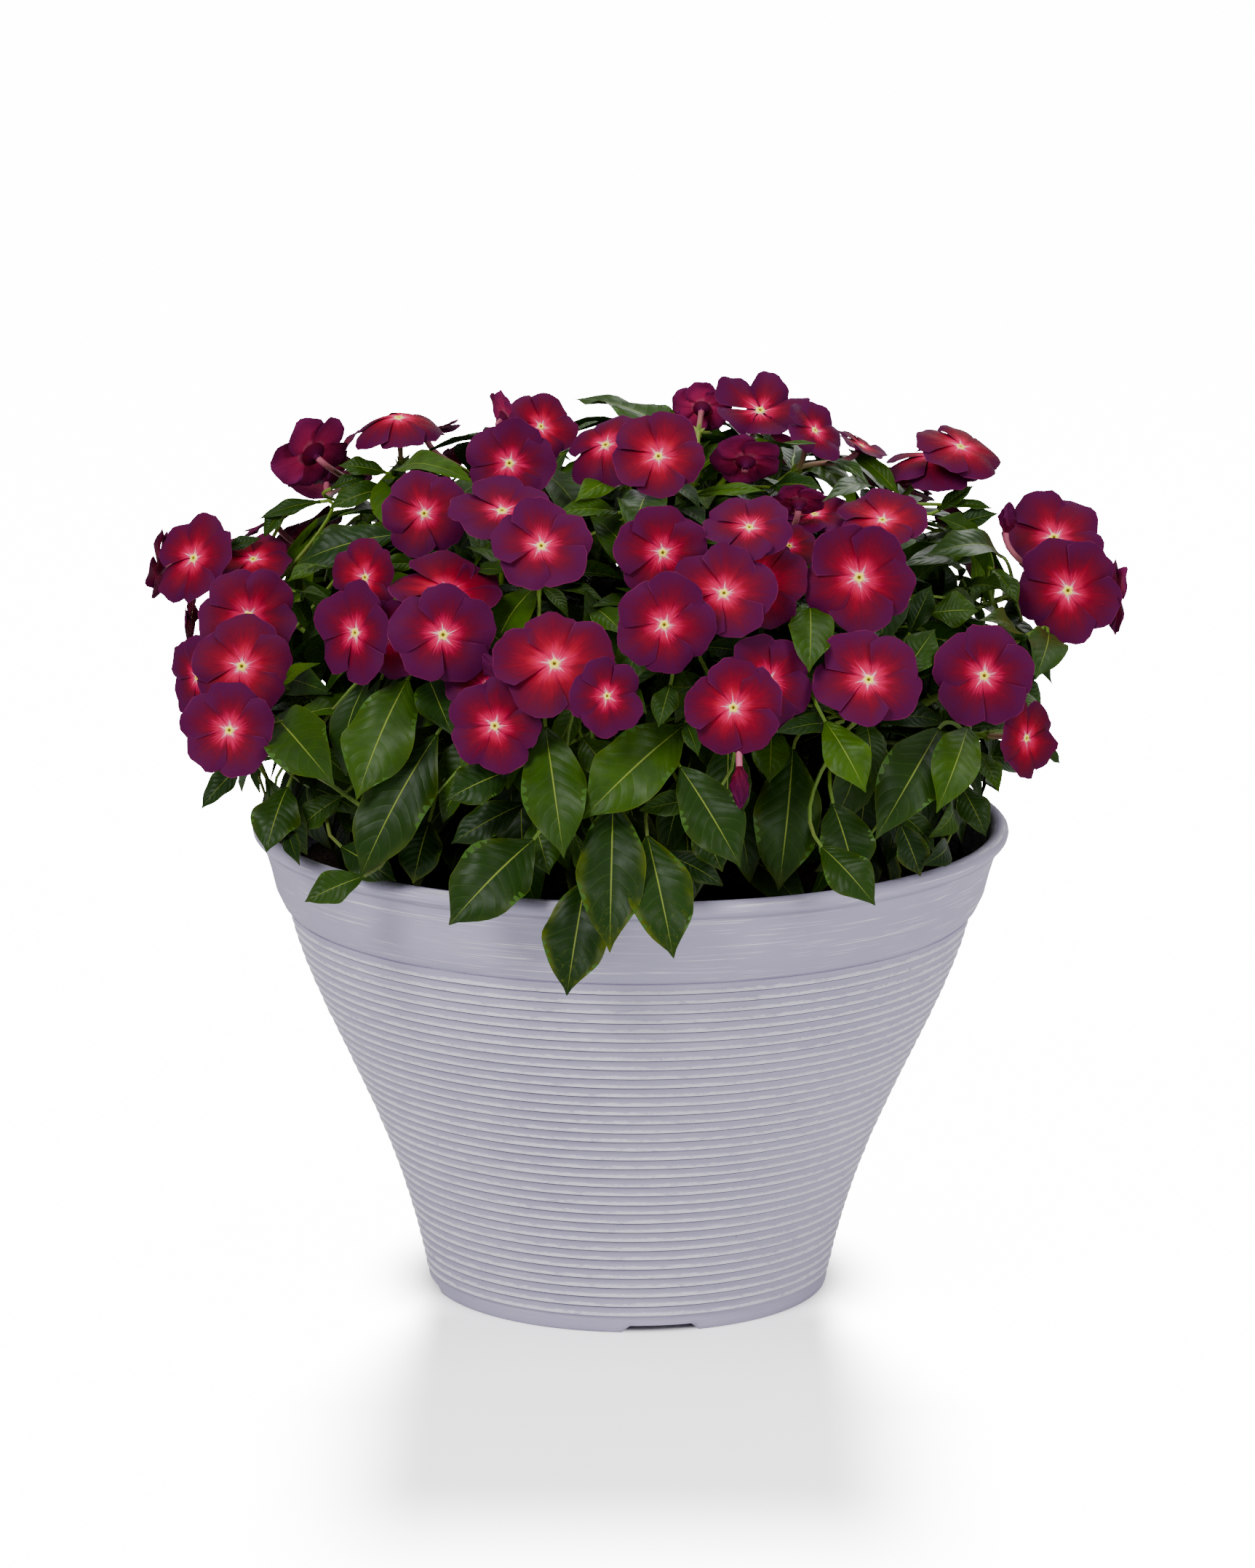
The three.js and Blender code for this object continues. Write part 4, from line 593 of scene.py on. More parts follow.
class Corners:
    """The corners of one node of the frame, in millimetres."""

    def __init__(self, node):
        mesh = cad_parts[node].data
        flat = np.empty(len(mesh.vertices) * 3)
        mesh.vertices.foreach_get("co", flat)
        self.points = np.unique(np.round(flat.reshape(-1, 3) / MM, 3), axis=0)

    def nearest(self, point):
        return float(np.linalg.norm(self.points - point, axis=1).min())

    def has(self, point):
        return self.nearest(point) < CORNER_TOLERANCE

    def on_ring(self, point, radius):
        reach = np.linalg.norm(self.points - point, axis=1)
        return int((np.abs(reach - radius) < RING_TOLERANCE).sum())


def find_bloom(bloom, corners):
    for slide in SLIDES:
        if "start" in bloom:
            centre = bloom["start"] - facing(bloom["yaw"], bloom["pitch"]) * slide
        else:
            centre = slide_from(bloom["eye"], 1, bloom.get("back", 0) + slide)
        if corners.has(centre):
            return centre
    return None


def find_end(bunch, corners):
    for attempt in range(TUBE_TRIES):
        end = stalk_end(bunch, attempt)
        if corners.on_ring(end, CAD_TUBE_END) >= RING_CORNERS:
            return end
    return stalk_end(bunch, 0)


def find_stalk(bunch, stem_corners):
    order = list(range(STEM_COUNT))
    order.sort(key=lambda stem: distance(stem_curve(stem).point(1), bunch["end"]))
    for gap in STALK_GAPS:
        for stem in order[:STALK_STEMS]:
            corners = stem_corners[stem]
            if corners.on_ring(bunch["end"] - bunch["direction"] * gap, STALK_RADIUS) < RING_CORNERS:
                continue
            middle = (TWIG_RADIUS + STALK_RADIUS) / 2
            curves = [stalk_curve(bunch, stem, gap, attempt) for attempt in range(STALK_TRIES)]
            return stem, max(curves, key=lambda curve: corners.on_ring(curve.point(0.5), middle))
    return order[0], stalk_curve(bunch, order[0], STALK_GAPS[0], 0)


def find_leaf(reading, skeleton, stem_corners):
    for slide in SLIDES:
        leaf = seen_leaf(reading, slide)
        holders = [stem for stem in range(STEM_COUNT) if stem_corners[stem].has(leaf["tip"])]
        if not holders:
            continue
        stem = holders[0]
        for _, at, branch in joints(skeleton, leaf["base"]):
            leaf["joint"] = at
            leaf["stem"] = stem
            middle = leaf_stalk_curve(leaf).point(0.5)
            short = distance(at, leaf["base"]) < LONG_STALK
            fits = short or stem_corners[stem].on_ring(middle, LEAF_STALK_RADIUS) > 1
            if branch["stem"] == stem and fits:
                return leaf
        return leaf
    return None


def find_pair_leaf(branch, share, hand, quarter, index, corners):
    for turn, scale in zip(PAIR_TURNS, PAIR_SCALES):
        leaf = pair_leaf(branch, share, hand, turn + quarter * math.pi / 2, scale, index)
        if corners.has(leaf["tip"]):
            leaf["stem"] = branch["stem"]
            return leaf
    return None


def find_bud(branch, index, corners):
    base = on_branch(branch, BUD_SHARE)
    level, _ = across_of(branch["direction"])
    for hand in (-1, 1):
        tip = base + branch["direction"] * BUD_LENGTH + level * hand * BUD_LENGTH * BUD_LEAN
        if index % BUD_EVERY == 0 and corners.on_ring(tip, CAD_BUD_TIP) >= RING_CORNERS:
            return base, tip
    return None


def find_wilted(wilt, corners):
    for slide in SLIDES:
        ends = [slide_from(wilt[end], WILTED_SHELL, slide) for end in ("top", "low")]
        if corners.has(ends[1]):
            return ends
    return None


def find_plant():
    """All blooms, stalks, leaves and buds where the frame's solids hold them."""
    blooms = [dict(bloom) for bloom in BLOOMS + back_blooms()]
    bunches = {}
    for index, bloom in enumerate(blooms):
        bloom["index"] = index
        bloom["cup"] = bloom.get("cup", USUAL_CUP)
        name = bloom["bunch"]
        bunch = bunches.setdefault(name, {"name": name, "index": len(bunches), "blooms": [], "wilted": []})
        bunch.setdefault("corners", Corners(f"bloom_{name}"))
        bloom["centre"] = find_bloom(bloom, bunch["corners"])
        bunch["blooms"].append(bloom)
    stem_corners = [Corners(f"leafy_stem_{stem + 1}") for stem in range(STEM_COUNT)]
    skeleton = []
    for bunch in bunches.values():
        bunch["end"] = find_end(bunch, bunch["corners"])
        bunch["direction"] = unit(sum(bloom["centre"] - bunch["end"] for bloom in bunch["blooms"]))
        for wilt in WILTED:
            ends = find_wilted(wilt, bunch["corners"]) if wilt["bunch"] == bunch["name"] else None
            if ends:
                width = wilt["width"] / PIXELS_PER_MM
                bunch["wilted"].append({"top": ends[0], "low": ends[1], "width": width})
        stem, curve = find_stalk(bunch, stem_corners)
        branch = {"curve": curve, "stem": stem, "stations": STALK_STATIONS, "shares": PAIR_SHARES}
        skeleton.append({**branch, "direction": bunch["direction"], "radii": (TWIG_RADIUS, STALK_RADIUS)})
    leaves = [find_leaf(reading, skeleton, stem_corners) for reading in LEAVES]
    trunks = []
    for stem in range(STEM_COUNT):
        trunk = {"curve": stem_curve(stem), "stem": stem, "stations": TRUNK_STATIONS, "shares": TRUNK_SHARES}
        trunks.append({**trunk, "radii": (STEM_ROOT_RADIUS, STEM_TOP_RADIUS)})
    pairs = []
    for index, branch in enumerate(skeleton + trunks):
        if branch["curve"].point(1)[1] < PAIRS_BEHIND:
            continue
        for quarter, share in enumerate(branch["shares"]):
            for hand in (-1, 1):
                number = PAIR_INDEX + index * 10 + quarter * 2 + (1 if hand > 0 else 0)
                corners = stem_corners[branch["stem"]]
                pairs.append(find_pair_leaf(branch, share, hand, quarter, number, corners))
    buds = []
    for index, branch in enumerate(skeleton):
        ends = find_bud(branch, index, stem_corners[branch["stem"]])
        if ends:
            buds.append({"base": ends[0], "tip": ends[1], "stem": branch["stem"]})
    plant = {"blooms": blooms, "bunches": list(bunches.values()), "skeleton": skeleton, "trunks": trunks}
    return {**plant, "seen": leaves, "pairs": [leaf for leaf in pairs if leaf], "buds": buds}


# Meshes

BULGE_SWELL = 0.3
BULGE_REACH = 0.035


def bell(offset, reach):
    """1 at no offset, fading to both sides."""
    return np.exp(-((offset / reach) ** 2))


def add_object(name, data):
    made = bpy.data.objects.new(name, data)
    bpy.context.scene.collection.objects.link(made)
    return made


def carry(mesh, name, values, kind="FLOAT", domain="POINT"):
    """Lets the points or faces of a mesh carry numbers, or vectors as flat rows of three."""
    field = "vector" if kind == "FLOAT_VECTOR" else "value"
    mesh.attributes.new(name, kind, domain).data.foreach_set(field, values)


class Skin:
    """Collects surfaces into one mesh. Each point keeps its place on its own petal or leaf and the tone and
    age of that piece; each face knows whether it is an underside."""

    def __init__(self, name, materials):
        self.name = name
        self.materials = materials
        self.points = []
        self.faces = []
        self.slots = []
        self.under = []
        self.places = []
        self.tones = []
        self.count = 0

    def add(self, points, faces, slot=0, places=None, tone=(0.5, 0.5), under=0.0):
        points = np.asarray(points, float).reshape(-1, 3)
        places = np.zeros((len(points), 2)) if places is None else np.asarray(places, float).reshape(-1, 2)
        self.points.append(points)
        self.places.append(places)
        self.tones.append(np.tile(np.array([tone[0], tone[1], 0.0]), (len(points), 1)))
        self.faces.extend([tuple(corner + self.count for corner in face) for face in faces])
        self.slots.extend([slot] * len(faces))
        self.under.extend(under if isinstance(under, list) else [under] * len(faces))
        self.count += len(points)

    def build(self, sharp=50.0):
        mesh = bpy.data.meshes.new(self.name)
        mesh.from_pydata((np.concatenate(self.points) * MM).tolist(), [], self.faces)
        for material in self.materials:
            mesh.materials.append(material)
        mesh.polygons.foreach_set("material_index", self.slots)
        mesh.polygons.foreach_set("use_smooth", [True] * len(self.faces))
        places = np.concatenate(self.places)
        vectors = np.column_stack([places, np.zeros(len(places))])
        carry(mesh, "place", vectors.ravel(), "FLOAT_VECTOR")
        carry(mesh, "tone", np.concatenate(self.tones).ravel(), "FLOAT_VECTOR")
        carry(mesh, "under", self.under, domain="FACE")
        mesh.set_sharp_from_angle(angle=math.radians(sharp))
        mesh.update()
        return add_object(self.name, mesh)


def blade_grid(rows, columns):
    """Shares along a blade, sides from -1 to 1 across it, and the places which go with them."""
    share, side = np.meshgrid(np.linspace(0, 1, rows), np.linspace(-1, 1, columns), indexing="ij")
    return share, side, np.stack([share, side * 0.5 + 0.5], axis=-1)


def grid_faces(rows, columns, closed=False):
    """Quads over a grid of points whose columns run across; closed joins the last column to the first."""
    faces = []
    for row in range(rows - 1):
        for column in range(columns if closed else columns - 1):
            after = (column + 1) % columns
            here = row * columns
            faces.append((here + column, here + after, here + columns + after, here + columns + column))
    return faces


def tube_faces(rings, sides):
    """The faces of a tube of rings, with a lid at both ends."""
    last = (rings - 1) * sides
    lids = [tuple(reversed(range(sides))), tuple(last + side for side in range(sides))]
    return grid_faces(rings, sides, closed=True) + lids


def add_blade(skin, top, under, places, slot, tone, flip=False):
    """A thin closed blade: two grids that share their rim."""
    rows, columns = top.shape[:2]
    top_index = np.arange(rows * columns).reshape(rows, columns)
    under_index = top_index.copy()
    inner = (rows - 2) * (columns - 2)
    under_index[1:-1, 1:-1] = rows * columns + np.arange(inner).reshape(rows - 2, columns - 2)
    points = np.concatenate([top.reshape(-1, 3), under[1:-1, 1:-1].reshape(-1, 3)])
    all_places = np.concatenate([places.reshape(-1, 2), places[1:-1, 1:-1].reshape(-1, 2)])
    faces = []
    flags = []
    for index, is_under in ((top_index, 0.0), (under_index, 1.0)):
        for row in range(rows - 1):
            for column in range(columns - 1):
                face = (
                    int(index[row, column]),
                    int(index[row, column + 1]),
                    int(index[row + 1, column + 1]),
                    int(index[row + 1, column]),
                )
                faces.append(face[::-1] if flip != bool(is_under) else face)
                flags.append(is_under)
    skin.add(points, faces, slot, all_places, tone, flags)


def ring_of(sides, across, over):
    """Angles round a ring of points, and the directions to them."""
    angles = np.arange(sides) / sides * 2 * math.pi
    return angles, np.outer(np.cos(angles), across) + np.outer(np.sin(angles), over)


def add_rings(skin, rings, shares, faces, slot, tone):
    """Rings of points and the faces between them; shares are the places of the rings along the piece."""
    sides = len(rings[0])
    places = [np.column_stack([np.full(sides, share), np.arange(sides) / sides]) for share in shares]
    skin.add(np.concatenate(rings), faces, slot, np.concatenate(places), tone)


def add_rod(skin, curve, radii, slot, tone, sides=8, steps=8, bulges=()):
    """A tapering rod along a curve, closed at both ends; bulges are the shares at which it swells."""
    along = curve.tangent(0)
    across, over = across_of(along)
    shares = [step / steps for step in range(steps + 1)]
    rings = []
    for share in shares:
        direction = curve.tangent(share)
        turn = Vector(along.tolist()).rotation_difference(Vector(direction.tolist()))
        across = np.array(turn @ Vector(across.tolist()))
        over = np.array(turn @ Vector(over.tolist()))
        along = direction
        swell = 1 + sum(BULGE_SWELL * bell(share - bulge, BULGE_REACH) for bulge in bulges)
        radius = (radii[0] + (radii[1] - radii[0]) * share) * swell
        rings.append(curve.point(share) + ring_of(sides, across, over)[1] * radius)
    add_rings(skin, rings, shares, tube_faces(steps + 1, sides), slot, tone)


def add_turned(skin, base, tip, profile, slot, tone, sides=10, flutes=0, depth=0.0, twist=0.0, first=0.0):
    """A body turned about a line; flutes cut folds into it, which wind round it by twist. Its places along
    it run from first to 1."""
    axis = unit(tip - base)
    angles, around = ring_of(sides, *across_of(axis))
    length = distance(base, tip)
    rings = []
    for share, radius in profile:
        folds = 1 - depth * (0.5 + 0.5 * np.cos(flutes * (angles + twist * share)))
        rings.append(base + axis * length * share + around * (radius * folds)[:, None])
    shares = [first + (1 - first) * share for share, _ in profile]
    add_rings(skin, rings, shares, tube_faces(len(profile), sides), slot, tone)


# Petals

PETAL_ROWS = 11
PETAL_COLUMNS = 13
PETAL_THICKNESS = 0.5
PETAL_HALF_ANGLE = math.radians(52)
CLAW_NARROWING = math.radians(26)
CLAW_REACH = 0.23
PETAL_START = 0.055
PETAL_CENTRE_ANGLE = math.radians(-2)
PINWHEEL_RISE = 0.055
MARGIN_DROP = 0.05
OUTLINE_LIMIT = 1.03
PETAL_TURN_SPREAD = 0.05
PETAL_WIDTH_SPREAD = 0.07
FURL_NARROWING = 0.22
FURL_BEND = 0.3
PETAL_SKEW = 0.06
SHOULDER_DROP = 0.30
MARGIN_LOBES = 0.026
CORNER_BULGE = 0.055
CORNER_REACH = 0.12
THROAT_DIP = 0.06
SLOW_WAVE = 0.05
QUICK_WAVE = 0.034
MIDLINE_GROOVE = 0.018
MIDLINE_REACH = 0.1
MARGIN_STARTS = 0.62


def petal_surface(bloom, lobe, radial, side):
    """Points on a bloom's petal: radial runs from the throat to the margin, side from -1 to 1 across. The
    share of the petal's own reach goes with them."""
    index = bloom["index"] * PETAL_COUNT + lobe
    lift = bloom["cup"] + spread(index, 2, LIFT_SPREAD)
    size = 1 + spread(index, 4, SIZE_SPREAD)
    turn = draw(bloom["index"], 1) * 2 * math.pi + lobe * 2 * math.pi / PETAL_COUNT + PETAL_CENTRE_ANGLE
    furl = bloom.get("furl", 0.0) * (0.6 + 0.8 * draw(index, 27))
    turn = turn + spread(index, 33, PETAL_TURN_SPREAD)
    half = PETAL_HALF_ANGLE * (1 + spread(index, 21, PETAL_WIDTH_SPREAD) - FURL_NARROWING * furl)
    rough_reach = PETAL_START + (1 - PETAL_START) * radial
    narrowing = CLAW_NARROWING * np.exp(-((rough_reach / CLAW_REACH) ** 1.3))
    angle = turn + side * (half - narrowing) + PETAL_SKEW * radial
    slant = PETAL_SKEW + spread(index, 28, PETAL_SKEW)
    outline = 1 - SHOULDER_DROP * np.abs(side - 0.04) ** 2.8 + slant * side
    outline = outline - MARGIN_LOBES * np.cos(side * (8 + 4 * draw(index, 29)) + draw(index, 22) * 6)
    corner = 0.35 + spread(index, 23, 0.35)
    outline = outline + CORNER_BULGE * bell(side - corner, CORNER_REACH)
    reach = PETAL_START + (np.minimum(outline, OUTLINE_LIMIT) * size - PETAL_START) * radial
    tilt = PINWHEEL_RISE + spread(index, 34, 0.02)
    rise = lift * reach ** 2 + tilt * side * np.clip(reach * 1.7 - 0.2, 0, 1)
    rise = rise - THROAT_DIP * (1 - np.clip(reach / 0.2, 0, 1)) ** 2
    rise = rise + SLOW_WAVE * np.sin(side * 2.4 + draw(index, 24) * 6) * reach ** 3
    rise = rise + QUICK_WAVE * np.sin(side * 6.5 + draw(index, 25) * 6) * reach ** 4
    drop = np.clip((radial - MARGIN_STARTS) / (1 - MARGIN_STARTS), 0, 1) ** 2
    rise = rise - (MARGIN_DROP + spread(index, 26, 0.07)) * drop
    rise = rise - MIDLINE_GROOVE * bell(side, MIDLINE_REACH) * np.sin(np.clip(radial, 0, 1) * math.pi)
    rise = rise - furl * FURL_BEND * side ** 2 * reach
    normal = facing(bloom["yaw"], bloom["pitch"])
    across, over = across_of(normal)
    flat = np.cos(angle)[..., None] * across + np.sin(angle)[..., None] * over
    points = bloom["centre"] + (flat * reach[..., None] + rise[..., None] * normal) * bloom["radius"]
    return points, rough_reach


def add_petals(skin, bloom):
    radial, side, _ = blade_grid(PETAL_ROWS, PETAL_COLUMNS)
    radial = radial ** 0.85
    normal = facing(bloom["yaw"], bloom["pitch"])
    for lobe in range(PETAL_COUNT):
        top, reach = petal_surface(bloom, lobe, radial, side)
        under = top - normal * PETAL_THICKNESS
        places = np.stack([reach, side * 0.5 + 0.5], axis=-1)
        tone = (draw(bloom["index"], 31), draw(bloom["index"] * PETAL_COUNT + lobe, 32))
        add_blade(skin, top, under, places, PETAL_SLOT, tone, flip=True)


# Eye of the bloom: a low five-lobed ring round the tube's mouth

EYE_PROFILE = [(-0.5, 0.5), (0.15, 0.62), (0.45, 0.95), (0.5, 1.45), (0.3, 2.0), (-0.5, 2.3)]
MOUTH_PROFILE = [(0.0, 0.62), (0.6, 0.6), (0.9, 0.42), (1.0, 0.1)]
MOUTH_FROM = -1.5
MOUTH_TO = -0.65
EYE_SIDES = 20
EYE_LOBES = 0.16


def add_eye(skin, bloom):
    normal = facing(bloom["yaw"], bloom["pitch"])
    turn = draw(bloom["index"], 1) * 2 * math.pi
    sides = EYE_SIDES
    angles, around = ring_of(sides, *across_of(normal))
    size = bloom["radius"] / BACK_RADIUS
    rings = []
    for height, radius in EYE_PROFILE:
        lobes = 1 + (EYE_LOBES * np.cos(PETAL_COUNT * (angles - turn)) if radius > 1 else 0) * np.ones(sides)
        centre = bloom["centre"] + normal * (height - 0.5)
        rings.append(centre + around * (radius * size * lobes)[:, None])
    shares = [radius / EYE_PROFILE[-1][1] for _, radius in EYE_PROFILE]
    faces = [face[::-1] for face in grid_faces(len(EYE_PROFILE), sides, closed=True)]
    last = (len(EYE_PROFILE) - 1) * sides
    faces += [(last + at, at, (at + 1) % sides, last + (at + 1) % sides) for at in range(sides)]
    add_rings(skin, rings, shares, faces, EYE_SLOT, (0.5, 0.5))
    low, high = (bloom["centre"] + normal * at for at in (MOUTH_FROM, MOUTH_TO))
    add_turned(skin, low, high, MOUTH_PROFILE, DOT_SLOT, (0.5, 0.5), sides=8)


# Throat behind the eye: a shallow funnel in which the petals' claws join. It takes the petals' dark outer
# colours, as painted shade where it shows through the gaps near the eye

THROAT_REACH = 0.3
THROAT_LENGTH = 4.0
THROAT_SINK = 1.5
THROAT_PAINTED_SHADE_PLACE = 0.62


def add_throat(skin, bloom):
    normal = facing(bloom["yaw"], bloom["pitch"])
    wide = THROAT_REACH * bloom["radius"]
    sink = THROAT_SINK - bloom["cup"] * THROAT_REACH ** 2 * bloom["radius"]
    base = bloom["centre"] - normal * sink
    profile = [(0.3, 0.3), (0.15, wide * 0.5), (0.0, wide), (0.1, wide), (0.6, 1.7), (1.0, 1.4)]
    tip = base - normal * THROAT_LENGTH
    # Painted shade: the funnel starts far along the petals' colours, so it shows dark plum in the gaps near
    # the eye
    add_turned(skin, base, tip, profile, PETAL_SLOT, (0.5, 0.5), sides=15, first=THROAT_PAINTED_SHADE_PLACE)


# Leaves

LEAF_ROWS = 18
LEAF_COLUMNS = 9
FILL_ROWS = 7
FILL_COLUMNS = 5
LEAF_THICKNESS = 0.55
BASE_HALF_WIDTH = 1.0
TIP_HALF_WIDTH = 0.15
WIDTH_WAVE = 0.03
LEAF_RIPPLE = 0.24
GROOVE_DEPTH = 0.5
GROOVE_REACH = 0.12
KEEL_DEPTH = 0.9
KEEL_REACH = 0.18
SEPAL_COUNT = 5
SEPAL_LENGTH = 5.5
SEPAL_WIDTH = 1.7
SEPAL_THICKNESS = 0.4
SEPAL_SPREAD = 0.45
SEPAL_LOW = 1.2
SEPAL_OUT = 0.7
OLD_BELOW = 300
AGE_SPAN = 130


def leaf_half_width(share):
    share = np.clip(share, 0, 1)
    return np.sin(math.pi * share ** 1.06) ** (0.78 + 0.55 * share ** 3)


def leaf_surface(leaf, share, side, wave):
    """Points on a leaf: share runs from the stalk to the tip, side from -1 to 1 across."""
    across = unit(np.cross(leaf["along"], leaf["face"]))
    chord = distance(leaf["base"], leaf["tip"])
    arch = LEAF_ARCH * chord * 4 * share * (1 - share)
    half = leaf["width"] * 0.5 * leaf_half_width(share)
    half = half * (1 + wave * WIDTH_WAVE * np.sin(share * 19 + side * 2 + leaf["phase"] * 9))
    half = np.maximum(half, BASE_HALF_WIDTH + (TIP_HALF_WIDTH - BASE_HALF_WIDTH) * share)
    spine = leaf["base"] + (leaf["tip"] - leaf["base"]) * share[..., None]
    fold = np.abs(side) ** 1.3 * half * LEAF_FOLD * (1 - 0.3 * share)
    swing = wave * np.sin(share * 12 + side * 1.6 + leaf["phase"] * 6)
    ripple = swing * np.abs(side) ** 2 * half * LEAF_RIPPLE
    curl = np.abs(side) ** 3 * half * leaf["curl"]
    groove = GROOVE_DEPTH * bell(side, GROOVE_REACH) * np.sin(math.pi * np.clip(share * 1.02, 0, 1))
    height = arch + fold + ripple - curl - groove
    return spine + across * (side * half)[..., None] + leaf["face"] * height[..., None]


def add_leaf(skin, leaf):
    share, side, places = blade_grid(LEAF_ROWS, LEAF_COLUMNS)
    top = leaf_surface(leaf, share, side, 1.0)
    keel = KEEL_DEPTH * bell(side, KEEL_REACH) * (1 - share)
    under = top - leaf["face"] * (LEAF_THICKNESS + keel)[..., None]
    add_blade(skin, top, under, places, LEAF_SLOT, (leaf["tone"], leaf["age"]))


def add_leaf_stalk(skin, leaf):
    reach = distance(leaf["joint"], leaf["base"])
    steps = 8 if reach > LONG_STALK else 4
    radii = (LEAF_STALK_RADIUS * 1.25, LEAF_STALK_RADIUS)
    add_rod(skin, leaf_stalk_curve(leaf), radii, STALK_SLOT, (leaf["tone"], 0.3), sides=6, steps=steps)


def add_sepals(skin, end, direction, index):
    """Five narrow green sepals at the foot of the tubes."""
    across, over = across_of(direction)
    share, side, places = blade_grid(5, 3)
    for sepal in range(SEPAL_COUNT):
        angle = sepal * 2 * math.pi / SEPAL_COUNT + draw(index, 41) * 6
        outward = across * math.cos(angle) + over * math.sin(angle)
        along = unit(direction + outward * SEPAL_SPREAD)
        face = unit(-outward + along * (outward @ along))
        base = end - direction * SEPAL_LOW + outward * SEPAL_OUT
        leaf = {"base": base, "tip": base + along * SEPAL_LENGTH, "along": along, "face": face}
        leaf.update({"width": SEPAL_WIDTH, "phase": 0.5, "curl": 0.0})
        top = leaf_surface(leaf, share, side, 0.0)
        add_blade(skin, top, top - face * SEPAL_THICKNESS, places, STALK_SLOT, (0.6, 0.2))


def leaf_nature(leaf, index):
    """Tone, age and unevenness of a leaf: low leaves are old, high ones new."""
    height = leaf["tip"][2]
    leaf["tone"] = draw(index, 51)
    leaf["age"] = min(max((OLD_BELOW - height) / AGE_SPAN + spread(index, 52, 0.12), 0.0), 1.0)
    leaf["phase"] = draw(index, 53)
    leaf["curl"] = 0.1 + spread(index, 54, 0.12)
    return leaf


# Materials

PETAL_SLOT, TUBE_SLOT, EYE_SLOT, DOT_SLOT = range(4)
LEAF_SLOT, STALK_SLOT = range(2)


def srgb(*shares):
    """Red, green and blue as read from 0 to 255, made linear."""
    linear = []
    for share in shares:
        c = share / 255
        linear.append(c / 12.92 if c <= 0.04045 else ((c + 0.055) / 1.055) ** 2.4)
    return (*linear, 1.0)


class Value:
    """What a node gives. Reckoning with it adds math nodes to the tree."""

    def __init__(self, tree, socket):
        self.tree = tree
        self.socket = socket

    def __add__(self, other):
        return self.tree.math("ADD", self, other)

    def __sub__(self, other):
        return self.tree.math("SUBTRACT", self, other)

    def __mul__(self, other):
        return self.tree.math("MULTIPLY", self, other)

    def __truediv__(self, other):
        return self.tree.math("DIVIDE", self, other)

    def __pow__(self, other):
        return self.tree.math("POWER", self, other)

    def __neg__(self):
        return self * -1.0

    def __abs__(self):
        return self.tree.math("ABSOLUTE", self)


class Tree:
    """Adds nodes to a node tree. An input may be a constant, a value or another node's socket."""

    def __init__(self, tree):
        self.tree = tree

    def node(self, kind, inputs=None, **settings):
        made = self.tree.nodes.new(kind)
        for name, value in settings.items():
            setattr(made, name, value)
        for name, value in (inputs or {}).items():
            self.set(made.inputs[name], value)
        return made

    def set(self, socket, value):
        if isinstance(value, Value):
            value = value.socket
        if isinstance(value, bpy.types.NodeSocket):
            self.tree.links.new(value, socket)
        else:
            socket.default_value = value

    def math(self, operation, a, b=0.0, c=0.0, clamp=False):
        made = self.tree.nodes.new("ShaderNodeMath")
        made.operation = operation
        made.use_clamp = clamp
        for socket, value in zip(made.inputs, (a, b, c)):
            self.set(socket, value)
        return Value(self, made.outputs[0])

    def vector_math(self, operation, *vectors, **named):
        made = self.node("ShaderNodeVectorMath", {**dict(enumerate(vectors)), **named}, operation=operation)
        return Value(self, made.outputs["Value" if operation == "LENGTH" else "Vector"])

    def split(self, vector):
        made = self.node("ShaderNodeSeparateXYZ", {"Vector": vector})
        return [Value(self, socket) for socket in made.outputs]

    def noise(self, vector, scale, detail=4.0, roughness=0.55):
        inputs = {"Vector": vector, "Scale": scale, "Detail": detail, "Roughness": roughness}
        return Value(self, self.node("ShaderNodeTexNoise", inputs).outputs["Fac"])

    def smooth(self, value, low, high, start=0.0, end=1.0):
        """Runs smoothly from start to end as value goes from low to high."""
        inputs = {"Value": value, "From Min": low, "From Max": high, "To Min": start, "To Max": end}
        made = self.node("ShaderNodeMapRange", inputs, interpolation_type="SMOOTHSTEP")
        return Value(self, made.outputs[0])


class Material(Tree):
    """A procedural material with one Principled shader."""

    def __init__(self, name, **constants):
        self.material = bpy.data.materials.new(name)
        self.material.use_nodes = True
        super().__init__(self.material.node_tree)
        self.shader = self.tree.nodes["Principled BSDF"]
        for socket, value in constants.items():
            self.shader.inputs[socket.replace("_", " ")].default_value = value

    def attribute(self, name):
        return Value(self, self.node("ShaderNodeAttribute", attribute_name=name).outputs["Fac"])

    def parts(self, name):
        """The three numbers of a vector that the points carry."""
        return self.split(self.node("ShaderNodeAttribute", attribute_name=name).outputs["Vector"])

    def join(self, x, y, z):
        return self.node("ShaderNodeCombineXYZ", {"X": x, "Y": y, "Z": z}).outputs[0]

    def coordinates(self):
        return self.node("ShaderNodeTexCoord").outputs["Object"]

    def scaled(self, vector, scale):
        return self.node("ShaderNodeMapping", {"Vector": vector, "Scale": scale}).outputs[0]

    def mix(self, factor, a, b):
        made = self.node("ShaderNodeMix", data_type="RGBA")
        colours = [socket for socket in made.inputs if socket.type == "RGBA"]
        self.set(made.inputs[0], factor)
        self.set(colours[0], a)
        self.set(colours[1], b)
        return next(socket for socket in made.outputs if socket.type == "RGBA")

    def ramp(self, value, stops):
        made = self.node("ShaderNodeValToRGB", {"Fac": value})
        elements = made.color_ramp.elements
        while len(elements) < len(stops):
            elements.new(1.0)
        for element, (position, colour) in zip(elements, stops):
            element.position = position
            element.color = colour
        return made.outputs["Color"]

    def bump(self, height, depth_mm, strength=1.0):
        inputs = {"Height": height, "Distance": depth_mm * MM, "Strength": strength}
        return self.node("ShaderNodeBump", inputs).outputs[0]

    def finish(self, **sockets):
        for name, value in sockets.items():
            self.set(self.shader.inputs[name.replace("_", " ")], value)
        return self.material


